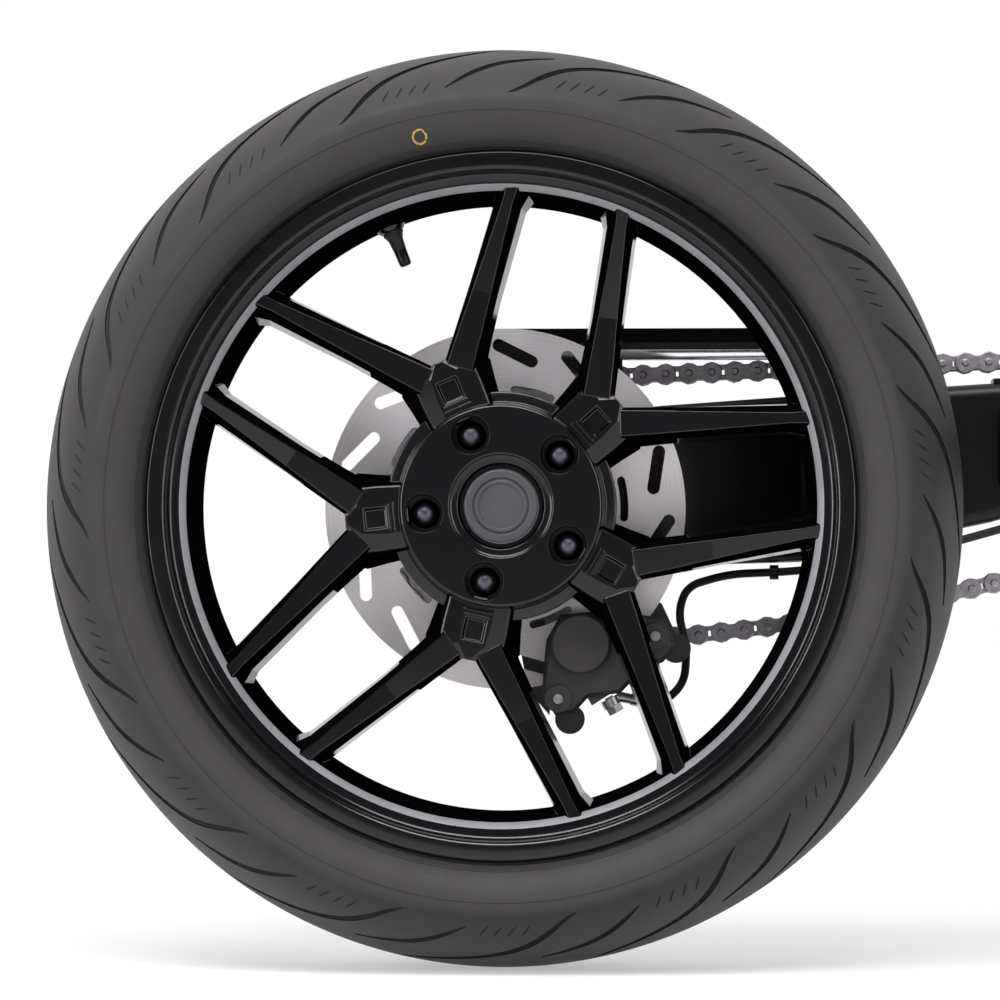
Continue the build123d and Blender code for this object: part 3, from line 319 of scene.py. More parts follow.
def turn_about_axle(angle):
    """Turn in the side frame's sense: positive angles run from forward to up."""
    back = Matrix.Translation(axle)
    return back @ Matrix.Rotation(-radians(angle), 4, ACROSS) @ back.inverted()


def carve(piece, cutter):
    """Cut one closed shape out of another."""
    cut = piece.modifiers.new("cut", "BOOLEAN")
    cut.object = cutter
    cut.operation = "DIFFERENCE"
    cut.solver = "EXACT"
    pick_only(piece)
    bpy.ops.object.modifier_apply(modifier=cut.name)
    bpy.data.objects.remove(cutter)


def dress(piece, material, body, slot, *nodes):
    """Give a piece its finish, unless it has its own, its body and the nodes it stands for."""
    if material:
        piece.data.materials.clear()
        piece.data.materials.append(material)
    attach(piece, body)
    if nodes:
        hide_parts(*nodes)


# Materials
def linear(value):
    """An sRGB hex colour as linear light with full alpha."""
    channels = [int(value[start : start + 2], 16) / 255 for start in (1, 3, 5)]
    light = [part / 12.92 if part <= 0.04045 else ((part + 0.055) / 1.055) ** 2.4 for part in channels]
    return (*light, 1.0)


def node(tree, kind, inputs=(), stops=(), **settings):
    """Add one node with its settings, its values and links, and a ramp's (place, hex colour) stops."""
    made = tree.nodes.new(kind)
    for name, value in settings.items():
        setattr(made, name, value)
    for name, value in dict(inputs).items():
        if isinstance(value, bpy.types.NodeSocket):
            tree.links.new(value, made.inputs[name])
        else:
            made.inputs[name].default_value = value
    if stops:
        band = made.color_ramp
        while len(band.elements) < len(stops):
            band.elements.new(0.5)
        for element, (place, colour) in zip(band.elements, stops):
            element.position = place
            element.color = linear(colour)
    return made


def new_material(name, **values):
    """A material with its shader's constants set; returns it with its tree and shader."""
    material = bpy.data.materials.new(name)
    material.use_nodes = True
    shader = material.node_tree.nodes["Principled BSDF"]
    for socket, value in values.items():
        shader.inputs[socket.replace("_", " ")].default_value = value
    return material, material.node_tree, shader


def axle_places(tree):
    """Object coordinates centred on the axle."""
    coordinates = node(tree, "ShaderNodeTexCoord")
    centred = node(
        tree, "ShaderNodeMapping", {"Vector": coordinates.outputs["Object"], "Location": tuple(-axle)}
    )
    return centred.outputs["Vector"]


def flat_places(tree, places):
    """Places without their part along the axle, and their distance from it."""
    split = node(tree, "ShaderNodeSeparateXYZ", {"Vector": places})
    flat = node(tree, "ShaderNodeCombineXYZ", {"X": split.outputs["X"], "Z": split.outputs["Z"]})
    radius = node(tree, "ShaderNodeVectorMath", {0: flat.outputs["Vector"]}, operation="LENGTH")
    return flat.outputs["Vector"], radius.outputs["Value"]


def per_mm(size_mm):
    """Scale of a pattern whose lumps or rings are about size_mm across."""
    return 1.0 / (size_mm * MM)


def coat(tree, shader, tone, rough, relief, edge_mm=0.0):
    """Link a finish to its shader, with edges that catch the light as rounded ones do.

    rough is a pattern with its least and most roughness, relief one with its depth in mm and its strength.
    """
    uneven, least, most = rough
    sheen = node(tree, "ShaderNodeMapRange", {"Value": uneven, "To Min": least, "To Max": most})
    height, depth_mm, strength = relief
    lumps = {"Height": height, "Distance": depth_mm * MM, "Strength": strength}
    if edge_mm:
        edges = node(tree, "ShaderNodeBevel", {"Radius": edge_mm * MM}, samples=6)
        lumps["Normal"] = edges.outputs["Normal"]
    skin = node(tree, "ShaderNodeBump", lumps)
    tree.links.new(tone, shader.inputs["Base Color"])
    tree.links.new(sheen.outputs["Result"], shader.inputs["Roughness"])
    tree.links.new(skin.outputs["Normal"], shader.inputs["Normal"])


def plain_finish(name, dark, light, grain_mm, rough, depth_mm, edge_mm, **values):
    """A coated or moulded surface: two close shades, uneven sheen and a fine grain."""
    material, tree, shader = new_material(name, **values)
    places = node(tree, "ShaderNodeTexCoord").outputs["Object"]
    patches, fine = [
        node(
            tree, "ShaderNodeTexNoise",
            {"Vector": places, "Scale": per_mm(size), "Detail": detail, "Roughness": 0.6},
        ).outputs["Fac"]
        for size, detail in ((30.0, 4.0), (grain_mm, 2.0))
    ]
    tone = node(tree, "ShaderNodeValToRGB", {"Fac": patches}, ((0.3, dark), (0.7, light)))
    coat(tree, shader, tone.outputs["Color"], (patches, *rough), (fine, depth_mm, 0.5), edge_mm)
    return material


def wheel_enamel():
    """Gloss black stoved enamel on cast aluminium: deep, nearly neutral, slight orange peel, sharp glints."""
    material, tree, shader = new_material("wheel_enamel_gloss_black", IOR=1.5)
    places = node(tree, "ShaderNodeTexCoord").outputs["Object"]
    patches, peel, dust = [
        node(
            tree, "ShaderNodeTexNoise",
            {"Vector": places, "Scale": per_mm(size), "Detail": detail, "Roughness": 0.6},
        ).outputs["Fac"]
        for size, detail in ((45.0, 3.0), (2.5, 1.0), (0.7, 2.0))
    ]
    tone = node(tree, "ShaderNodeValToRGB", {"Fac": patches}, ((0.3, "#060608"), (0.75, "#0b0b0e")))
    coat(tree, shader, tone.outputs["Color"], (dust, 0.10, 0.2), (peel, 0.02, 0.25), 0.5)
    return material


def paint_ring(tree, places, flat):
    """1 on the ring of paint on the right wall, 0 elsewhere and where the paint has worn off."""
    centre = polar(*PAINT_RING_PLACE) - axle
    away = node(tree, "ShaderNodeVectorMath", {0: flat, 1: tuple(centre)}, operation="DISTANCE")
    off = node(
        tree, "ShaderNodeMath",
        {0: away.outputs["Value"], 1: PAINT_RING_RADIUS * MM}, operation="SUBTRACT",
    )
    off = node(tree, "ShaderNodeMath", {0: off.outputs["Value"]}, operation="ABSOLUTE")
    ring = node(
        tree, "ShaderNodeMath",
        {0: off.outputs["Value"], 1: PAINT_RING_HALF_WIDTH * MM}, operation="LESS_THAN",
    )
    across = node(tree, "ShaderNodeSeparateXYZ", {"Vector": places})
    right = node(tree, "ShaderNodeMath", {0: across.outputs["Y"], 1: 0.0}, operation="LESS_THAN")
    wear = node(
        tree, "ShaderNodeTexNoise",
        {"Vector": places, "Scale": per_mm(2.0), "Detail": 3.0, "Roughness": 0.6},
    )
    kept = node(tree, "ShaderNodeMath", {0: wear.outputs["Fac"], 1: 0.42}, operation="GREATER_THAN")
    for limit in (right, kept):
        ring = node(
            tree, "ShaderNodeMath",
            {0: ring.outputs["Value"], 1: limit.outputs["Value"]}, operation="MULTIPLY",
        )
    return ring.outputs["Value"]


def tyre_rubber():
    """Vulcanised rubber: matt grey brown, dusty, with a paler worn band round the tread's shoulders."""
    material, tree, shader = new_material("tyre_rubber_dusty", IOR=1.5)
    places = axle_places(tree)
    flat, radius = flat_places(tree, places)
    wander, speckle, grit = [
        node(
            tree, "ShaderNodeTexNoise",
            {"Vector": places, "Scale": per_mm(size), "Detail": detail, "Roughness": roughness},
        ).outputs["Fac"]
        for size, detail, roughness in ((24.0, 5.0, 0.6), (1.6, 4.0, 0.7), (0.9, 4.0, 0.6))
    ]
    reach = node(
        tree, "ShaderNodeMapRange",
        {"Value": radius, "From Min": BEAD_RADIUS * MM, "From Max": TYRE_RADIUS * MM},
    )
    smear = node(tree, "ShaderNodeMath", {0: wander, 1: 0.12}, operation="MULTIPLY")
    worn = node(
        tree, "ShaderNodeMath",
        {0: reach.outputs["Result"], 1: smear.outputs["Value"]}, operation="ADD",
    )
    base = node(
        tree, "ShaderNodeValToRGB", {"Fac": worn.outputs["Value"]},
        ((0.20, "#2f2c2d"), (0.55, "#2a2728"), (0.62, "#1f1d1e"), (0.80, "#2b2829"), (0.94, "#3d393b")),
    )
    specks = node(tree, "ShaderNodeValToRGB", {"Fac": speckle}, ((0.35, "#a09c9e"), (0.7, "#ffffff")))
    dusty = node(
        tree, "ShaderNodeMix",
        {"Factor": 0.35, "A": base.outputs["Color"], "B": specks.outputs["Color"]},
        data_type="RGBA", blend_type="MULTIPLY",
    )
    marked = node(
        tree, "ShaderNodeMix",
        {"Factor": paint_ring(tree, places, flat), "A": dusty.outputs["Result"], "B": linear("#a98c35")},
        data_type="RGBA",
    )
    coat(tree, shader, marked.outputs["Result"], (wander, 0.55, 0.8), (grit, 0.12, 0.35))
    return material


def ground_steel():
    """Ground stainless brake disc: slightly mauve, with fine rings from grinding and the pads, and bright
    partly from its own steel's sheen and partly from painted reflection, a near-white matt share.
    """
    material, tree, shader = new_material("disc_steel_painted_reflection", Metallic=0.4, Anisotropic=0.6)
    places = axle_places(tree)
    radius = flat_places(tree, places)[1]
    rings = node(
        tree, "ShaderNodeTexNoise", {"W": radius, "Scale": per_mm(0.9), "Detail": 3.0},
        noise_dimensions="1D",
    ).outputs["Fac"]
    patches = node(
        tree, "ShaderNodeTexNoise",
        {"Vector": places, "Scale": per_mm(22.0), "Detail": 3.0, "Roughness": 0.6},
    ).outputs["Fac"]
    # Near-white tones on a partly matt metal: painted reflection of bright light, beside the disc's own sheen
    tone = node(tree, "ShaderNodeValToRGB", {"Fac": rings}, ((0.3, "#ddd6db"), (0.7, "#eee8ec")))
    coat(tree, shader, tone.outputs["Color"], (patches, 0.28, 0.42), (rings, 0.012, 0.4))
    tangent = node(tree, "ShaderNodeTangent", direction_type="RADIAL", axis="Y")
    tree.links.new(tangent.outputs["Tangent"], shader.inputs["Tangent"])
    return material


def worn_metal(name, dark, light, rough):
    """Bare or plated metal: mottled grey with a fine grain, its edges shaded as rounded ones."""
    material, tree, shader = new_material(name, Metallic=1.0)
    places = node(tree, "ShaderNodeTexCoord").outputs["Object"]
    stain, fine = [
        node(
            tree, "ShaderNodeTexNoise",
            {"Vector": places, "Scale": per_mm(size), "Detail": detail, "Roughness": roughness},
        ).outputs["Fac"]
        for size, detail, roughness in ((6.0, 5.0, 0.65), (0.6, 2.0, 0.6))
    ]
    tone = node(tree, "ShaderNodeValToRGB", {"Fac": stain}, ((0.3, dark), (0.7, light)))
    coat(tree, shader, tone.outputs["Color"], (stain, *rough), (fine, 0.03, 0.5), 0.35)
    return material


finishes = {
    "tyre": tyre_rubber(),
    # Rubber inside the grooves, darker than the tread and the walls
    "groove": plain_finish("tyre_groove_rubber", "#100f0f", "#181616", 1.2, (0.6, 0.8), 0.1, 0.2, IOR=1.5),
    "wheel": wheel_enamel(),
    # Painted shade inside the barrel and on the spokes' sloped faces: matt near-black without gloss, where
    # the white room would else fill them with light
    "barrel": plain_finish("painted_shade_matt_black", "#020202", "#050506", 1.5, (0.6, 0.8), 0.04, 0.3,
                           IOR=1.3, Specular_IOR_Level=0.0),
    # Painted highlight on the ledge beside the windows: an even mid grey where its rounded shoulder catches
    # the light
    "ledge": plain_finish("ledge_painted_highlight_grey", "#6e6e73", "#7c7c81", 1.5, (0.35, 0.5), 0.02, 0.3,
                          IOR=1.5),
    # Phosphated bolt heads: dark with a broad lilac sheen
    "bolt": worn_metal("bolt_steel_phosphated", "#5c5a64", "#6e6c77", (0.36, 0.46)),
    # Satin powder coat on the arm: black with a fine pebble and a broad soft sheen
    "arm": plain_finish("arm_powder_coat_satin", "#060607", "#0b0b0d", 1.2, (0.3, 0.42), 0.04, 1.2,
                        IOR=1.5, Specular_IOR_Level=0.3),
    # Baked coating on the caliper's sand casting: charcoal with a mauve tint
    "caliper": plain_finish("caliper_cast_coated", "#2b282b", "#3c383b", 1.0, (0.42, 0.6), 0.12, 0.8,
                            IOR=1.5),
    # Moulded nylon and polypropylene trim: black, slightly silky
    "moulded": plain_finish("trim_moulded_black", "#08080a", "#0f0f11", 0.8, (0.3, 0.42), 0.04, 0.5,
                            IOR=1.46, Specular_IOR_Level=0.35),
    # Bright rolled aluminium edge along the guard's foot
    "lip": worn_metal("guard_lip_aluminium", "#f0edf5", "#fbf9ff", (0.1, 0.18)),
    # Pressed and moulded grey cap in the hub
    "cap": plain_finish("cap_moulded_grey", "#38383d", "#424247", 0.8, (0.38, 0.5), 0.04, 0.4, IOR=1.46),
    # Extruded hose and boots: matt black rubber
    "hose": plain_finish("hose_rubber_black", "#0d0d0d", "#171717", 0.6, (0.5, 0.7), 0.06, 0.3, IOR=1.5),
    # Sintered lining on its steel back: coarse brown grey
    "lining": plain_finish("pad_lining_sintered", "#2a2724", "#47413c", 0.9, (0.7, 0.9), 0.2, 0.2, IOR=1.5),
    "disc": ground_steel(),
    # Zinc plate on small steel parts: pale grey
    "zinc": worn_metal("zinc_plated_steel", "#8f9093", "#b9babc", (0.28, 0.42)),
    # Black oxide on bolt heads: nearly black with a dull sheen
    "black_oxide": worn_metal("black_oxide_steel", "#1b1b1d", "#2b2b2e", (0.32, 0.48)),
    # Oiled rolled steel of the links: mid grey, stained
    "chain": worn_metal("chain_steel_oiled", "#949096", "#bcb6be", (0.35, 0.5)),
    # Turned aluminium: pale grey with a soft sheen
    "alloy": worn_metal("turned_aluminium", "#8d8f94", "#b4b6ba", (0.3, 0.45)),
}
# Finish of each node that keeps its own solid
node_finishes = {
    "arm": ("swingarm", "pivot_tube", "cross_member", "right_arm", "shock_clevis"),
    "wheel": ("cast_wheel",),
    "zinc": (
        "pivot_sleeve", "pinch_bolts", "guard_bolts", "slide_pins", "bleed_nipple", "banjo_fitting",
        "hose_end", "front_sprocket", "wheel_axle", "rear_sprocket", "sprocket_nuts", "axle_nut",
    ),
    "black_oxide": ("wheel_bolts", "disc_bolts"),
    "chain": ("drive_chain",),
    "alloy": ("eccentric_hub", "sprocket_carrier"),
    "caliper": ("caliper_bracket", "brake_caliper"),
    "lining": ("brake_pads",),
    "disc": ("brake_disc",),
    "hose": ("pivot_seals", "pin_boots", "brake_hose", "valve_stem"),
    "moulded": ("chain_slider", "chain_guard", "hose_clips", "valve_cap"),
    "cap": ("centre_cap",),
    "tyre": ("tyre",),
}
for finish, names in node_finishes.items():
    for name in names:
        cad_node = frame["nodes"][name]
        cad_node.data.materials.clear()
        cad_node.data.materials.append(finishes[finish])


# Tyre
def wall_point(turn):
    """Point of the bulging wall, from the tread's edge at 0 to the rim at 90 degrees."""
    return (
        WALL_CENTRE[0] - WALL_REACH[0] * sin(radians(turn)),
        WALL_CENTRE[1] + WALL_REACH[1] * cos(radians(turn)),
    )


def tyre_outline():
    """Section of the tyre from the near bead over the crown to the far one."""
    wall = [(BEAD_RADIUS, BEAD_FACE), (233.2, BEAD_FACE)]
    for turn in range(78, 0, -3):
        radius, z = wall_point(turn)
        wall.append((radius, z))
        if turn in WALL_RIBS:
            for step, share in ((0.6, 1.0), (1.4, 1.0), (1.9, 0.0)):
                rib_radius, rib_z = wall_point(turn - step)
                wall.append((rib_radius, rib_z + WALL_RIBS[turn] * share))
    edge = [(264.0, TYRE_HALF_WIDTH - 0.1), (crown_radius(74.0), 74.0)]
    crown = [(crown_radius(z), float(z)) for z in range(71, 0, -4)]
    half = wall + edge + crown
    inner = [(BEAD_RADIUS, BEAD_FACE - BEAD_WIDTH), (250.0, 62.0), (268.0, 60.0), (289.0, 35.0)]
    far = [(radius, -z) for radius, z in reversed(half)]
    far_inner = [(radius, -z) for radius, z in inner]
    return half + far + far_inner + inner[::-1]


def groove_cutter(path, end_angle, side_sign):
    """A tapering worm along a groove's path, sunk in the tread."""
    pick_nothing()
    bpy.ops.curve.primitive_nurbs_path_add()
    worm = bpy.context.object
    line = worm.data
    line.splines.clear()
    spline = line.splines.new("NURBS")
    spline.points.add(len(path) - 1)
    spline.order_u = 3
    spline.use_endpoint_u = True
    for point, (turn, z, half_width, sunk) in zip(spline.points, path):
        point.co = (*polar(crown_radius(z) - sunk, end_angle + turn, side_sign * z), 1.0)
        point.radius = half_width
    line.bevel_depth = MM
    line.bevel_resolution = 2
    line.resolution_u = 4
    line.use_fill_caps = True
    bpy.ops.object.convert(target="MESH")
    return bpy.context.object


def make_tyre():
    """Tyre with the grooves of one pitch per side repeated round its tread."""
    tyre = lathe("road_tyre", tyre_outline(), WHEEL_STEPS)
    step = 360 / PITCHES
    grooves = [(LONG_GROOVE, LONG_GROOVE_END), (SHORT_GROOVE, SHORT_GROOVE_END)]
    grooves += [(SIPE, place) for place in SIPE_PLACES]
    pitch_cutters = [
        groove_cutter(path, place + shift, side_sign)
        for side_sign, shift in ((1, 0.0), (-1, step / 2)) for path, place in grooves
    ]
    first = join("groove_cutters", pitch_cutters)
    cutters = [first] + [twin(first, turn_about_axle(step * count)) for count in range(1, PITCHES)]
    cutter = join("groove_cutters", cutters)
    pick_only(cutter)
    bpy.ops.object.mode_set(mode="EDIT")
    tidy_skin()
    for material in (finishes["tyre"], finishes["groove"]):
        tyre.data.materials.append(material)
        cutter.data.materials.append(material)
    for face in cutter.data.polygons:
        face.material_index = 1
    carve(tyre, cutter)
    smooth(tyre, 35)
    return tyre


dress(make_tyre(), None, "wheel", "tyre", "tyre")


# Cast wheel
def loft(name, loops):
    """Skin through several closed outlines with as many points each, closed at both ends."""
    piece = join(name, [start_line(f"{name}_section", loop, closed=True) for loop in loops])
    bpy.ops.object.mode_set(mode="EDIT")
    bpy.ops.mesh.select_all(action="SELECT")
    bpy.ops.mesh.delete(type="ONLY_FACE")
    bpy.ops.mesh.select_all(action="SELECT")
    bpy.ops.mesh.bridge_edge_loops()
    bpy.ops.mesh.select_all(action="SELECT")
    bpy.ops.mesh.fill_holes(sides=0)
    tidy_skin()
    return piece


def round_piece(name, outline, place, steps):
    """Spin an outline of (radius, z) points, from axis to axis, about a line through place along the axle."""
    piece = start_line(name, [spot(place[0] + radius, place[1], z) for radius, z in outline])
    bpy.ops.mesh.spin(steps=steps, angle=2 * pi, center=spot(*place, 0), axis=ACROSS)
    tidy_skin()
    return piece


def make_rim():
    """Rim with rounded lips, a drop centre under the tyre and a stepped ledge beside the windows."""
    near = (
        [(BEAD_SEAT - 1.0, RIM_HALF_WIDTH - 22.0), (BEAD_SEAT, RIM_HALF_WIDTH - 4.5)]
        + [(RIM_RADIUS - 0.6, RIM_HALF_WIDTH - 4.5)]
        + arc((RIM_RADIUS - 3.4, RIM_HALF_WIDTH - 3.4), 3.4, 0, 90, 6)
        + arc((BEAD_SEAT + 3.4, RIM_HALF_WIDTH - 3.4), 3.4, 90, 165, 5)
        + arc((BEAD_SEAT - 3.9, RIM_HALF_WIDTH - 6.0), 3.0, 0, -80, 4)
        + arc((211.2, 46.4), 1.6, 75, 130, 3)
        + arc((207.6, 42.6), 1.6, 140, 185, 3)
        + [(WINDOW_RADIUS + 4.0, RIM_HALF_WIDTH - 24.0), (WINDOW_RADIUS + 0.4, 12.0), (WINDOW_RADIUS, 4.0)]
    )
    bed = [(205.5, -22.0), (205.5, 22.0)]
    far = [(radius, -z) for radius, z in reversed(near)]
    rim = lathe("rim", bed + near + far, WHEEL_STEPS)
    smooth(rim, 35)
    for material in (finishes["wheel"], finishes["barrel"], finishes["ledge"]):
        rim.data.materials.append(material)
    for face in rim.data.polygons:
        place = face.center - axle
        radius, z = hypot(place.x, place.z) / MM, -place.y / MM
        # Inside the barrel: painted shade, matt near-black without gloss
        if radius < LEDGE_RADII[0] and abs(z) < LEDGE_Z[0]:
            face.material_index = 1
        # On the ledge: painted highlight, an even mid grey
        elif LEDGE_RADII[0] < radius < LEDGE_RADII[1] and LEDGE_Z[0] < z < LEDGE_Z[1]:
            face.material_index = 2
    return rim


def bolt_places():
    """Middles of the wheel bolts, as (x, y) places."""
    turns = [radians(BOLT_ANGLE + 360 / ROOTS * step) for step in range(ROOTS)]
    return [(BOLT_CIRCLE * cos(turn), BOLT_CIRCLE * sin(turn)) for turn in turns]


def make_hub():
    """Hub drum with a raised face, five counterbored bolt holes and a stepped recess for the cap."""
    outline = (
        [(25.0, 35.0), (25.0, 4.0), (62.0, 4.0), (HUB_RADIUS, 13.0)]
        + arc((HUB_RADIUS - 1.2, 30.4), 1.2, 0, 80, 3)
        + arc((HUB_FACE_RADIUS + 3.2, 33.4), 1.0, 265, 190, 3)
        + arc((HUB_FACE_RADIUS - 1.6, HUB_FACE - 2.0), 2.0, 8, 90, 5)
        + [(HUB_FACE_RADIUS - 2.1, HUB_FACE), (CAP_RECESS_RADIUS + 1.9, HUB_FACE)]
        + arc((CAP_RECESS_RADIUS + 1.4, HUB_FACE - 1.4), 1.4, 90, 170, 4)
        + [(CAP_RECESS_RADIUS - 0.2, HUB_FACE - 2.4), (CAP_RECESS_RADIUS - 1.6, HUB_FACE - 3.2)]
        + arc((29.2, HUB_FACE - 4.2), 1.0, 80, 170, 3)
        + [(27.0, HUB_FACE - 9.0)]
    )
    hub = lathe("hub", outline, 240)
    mouth = BOLT_HOLE_RADIUS + 1.1
    drill = [
        (0.0, HUB_FACE - BOLT_HOLE_DEPTH), (BOLT_HOLE_RADIUS, HUB_FACE - BOLT_HOLE_DEPTH),
        (BOLT_HOLE_RADIUS, HUB_FACE - 1.2), (mouth, HUB_FACE - 0.2), (mouth + 0.4, HUB_FACE + 1.0),
        (0.0, HUB_FACE + 1.0),
    ]
    carve(hub, join("drills", [round_piece("drill", drill, place, 48) for place in bolt_places()]))
    smooth(hub, 32)
    return hub


def root_frame(along, across, z):
    """A place in the first root's own frame, along its axis and across it."""
    turn = radians(ROOT_ANGLE)
    return spot(along * cos(turn) - across * sin(turn), along * sin(turn) + across * cos(turn), z)


def root_section(along, middle, shoulder, foot):
    """Section across a root block: flat middle, sloped shoulders, steep walls and a flared foot."""
    right = [(middle, 38.0), (shoulder, 36.0), (shoulder + 2.2, 33.0), (foot, 15.0), (foot, 9.0)]
    both = right + [(-across, z) for across, z in reversed(right)]
    return [root_frame(along, across, z) for across, z in both]


def spoke_section(sizes, side):
    """Section across one spoke, at its place along the run from the root to the rim."""
    share, face, bevel, drop, outer_flank, inner_flank, front, back = sizes
    end = (SPOKE_REACH * cos(radians(SPOKE_SPREAD)), SPOKE_REACH * sin(radians(SPOKE_SPREAD)))
    run = (end[0] - SPOKE_START[0], end[1] - SPOKE_START[1])
    length = hypot(*run)
    ahead = (run[0] / length, run[1] / length)
    half = face / 2
    edge = half + bevel
    outline = [
        (edge + outer_flank, back),
        (edge + 0.5 * outer_flank, front - drop - 0.8 * outer_flank),
        (edge, front - drop),
        (half + 0.5 * bevel, front - 0.4 * drop),
        (half, front),
        (-half, front - 0.4),
        (-half - 0.5 * bevel, front - 0.4 * drop - 0.3),
        (-edge, front - drop),
        (-edge - 0.5 * inner_flank, front - drop - 0.8 * inner_flank),
        (-edge - inner_flank, back),
    ]
    middle = (SPOKE_START[0] + share * run[0], SPOKE_START[1] + share * run[1])
    return [
        root_frame(middle[0] - ahead[1] * over, side * (middle[1] + ahead[0] * over), z)
        for over, z in outline
    ]


def make_spokes():
    """One root with its pair of spokes, its pocket and its bars, repeated round the hub."""
    block = loft("root_block", [root_section(*section) for section in ROOT_SECTIONS])
    low, high = POCKET_ENDS
    pocket = loft("pocket", [
        [root_frame(along, across, z) for along, across in
         ((high, half), (low, half), (low, -half), (high, -half))]
        for z, half in POCKET_SECTIONS
    ])
    carve(block, pocket)
    bevel_edges(block, 0.9, 2, 22)
    pieces = [block]
    for side in (1, -1):
        spoke = loft("spoke", [spoke_section(sizes, side) for sizes in SPOKE_SECTIONS])
        bevel_edges(spoke, 0.7, 2, 16)
        pieces.append(spoke)
    for along, half, top in BARS:
        low, high = along - BAR_HALF_WIDTH, along + BAR_HALF_WIDTH
        bar = loft("bar", [
            [root_frame(*place, z) for place in ((high, half), (high, -half), (low, -half), (low, half))]
            for z in (BAR_FOOT, top)
        ])
        bevel_edges(bar, 0.5, 2, 40)
        pieces.append(bar)
    root = join("root", pieces)
    roots = [root] + [twin(root, turn_about_axle(360 / ROOTS * step)) for step in range(1, ROOTS)]
    spokes = join("spokes", roots)
    smooth(spokes, 3.5)
    for material in (finishes["wheel"], finishes["barrel"]):
        spokes.data.materials.append(material)
    # Sloped faces take painted shade, the matt near-black finish without gloss
    for face in spokes.data.polygons:
        place = face.center - axle
        facing = abs(face.normal.y)
        deep_wall = facing < STEEP and hypot(place.x, place.z) / MM > DARK_FLANKS
        if facing < SLOPED and not deep_wall and face.area > TINY_FACE:
            face.material_index = 1
    return spokes


def along_valve(name, outline):
    """Spin an outline of (radius, place along the stem from the rim's inside) about the valve's axis."""
    foot = polar(WINDOW_RADIUS, VALVE_ANGLE)
    inward = (polar(0, 0) - foot).normalized()
    points = [foot + inward * (place * MM) + ACROSS * (radius * MM) for radius, place in outline]
    piece = start_line(name, points)
    bpy.ops.mesh.spin(steps=40, angle=2 * pi, center=foot, axis=inward)
    tidy_skin()
    smooth(piece, 35)
    return piece


def make_wheel():
    """The whole casting: rim, spokes with their roots, hub and the valve's boss."""
    hub = make_hub()
    boss = along_valve("valve_boss", [
        (0.0, -6.0), (11.0, -6.0), (10.2, 0.0), *arc((7.0, 1.4), 1.8, 20, 90, 4), (0.0, 3.2),
    ])
    for piece in (hub, boss):
        piece.data.materials.append(finishes["wheel"])
    return join("cast_road_wheel", [make_rim(), make_spokes(), hub, boss])


def make_valve():
    """Snap-in rubber valve with its moulded skirt, and its round cap."""
    stem = along_valve("snap_in_valve", [
        (0.0, -5.0), (6.0, -5.0), (6.9, 3.0), *arc((5.6, 4.4), 1.3, 0, 60, 3),
        (4.9, 9.0), (4.5, 14.0), (4.2, 17.0), (0.0, 17.0),
    ])
    cap = along_valve("valve_dust_cap", [
        (0.0, 15.4), (4.0, 15.4), (4.3, 16.4), (4.1, 24.0), *arc((2.2, 25.6), 1.8, 0, 90, 5), (0.0, 27.4),
    ])
    return stem, cap


def make_wheel_bolts():
    """Domed bolts at the bottom of their holes."""
    seat = HUB_FACE - BOLT_HOLE_DEPTH
    dome = [(0.0, seat - 1.0), (9.6, seat - 1.0), (9.6, seat + 3.0), *arc((0.0, seat + 4.0), 9.0, 4, 90, 9)]
    bolts = join("domed_wheel_bolts", [round_piece("bolt", dome, place, 36) for place in bolt_places()])
    smooth(bolts, 35)
    return bolts


def make_cap():
    """Moulded cap with a flat rim, a groove and a slightly sunk middle."""
    top = HUB_FACE - 3.0
    outline = (
        [(0.0, top - 8.0), (23.0, top - 8.0), (24.0, top - 3.0)]
        + arc((22.6, top - 1.4), 1.4, 0, 90, 4)
        + arc((19.4, top - 0.8), 0.8, 90, 170, 3)
        + [(18.0, top - 1.6)]
        + arc((16.4, top - 1.2), 0.8, 10, 90, 3)
        + arc((15.4, top - 1.0), 0.6, 90, 180, 3)
        + [(14.6, top - 1.3), (14.2, top - 1.3), (0.0, top - 1.3)]
    )
    cap = round_piece("hub_cap", outline, (0.0, 0.0), 160)
    smooth(cap, 30)
    return cap


dress(make_wheel(), None, "wheel", "wheel_paint", "cast_wheel")
stem, dust_cap = make_valve()
dress(stem, finishes["hose"], "wheel", "rubber", "valve_stem")
dress(dust_cap, finishes["moulded"], "wheel", "plastic", "valve_cap")
dress(make_wheel_bolts(), finishes["bolt"], "wheel", "black_steel", "wheel_bolts")
dress(make_cap(), finishes["cap"], "wheel", "plastic", "centre_cap")


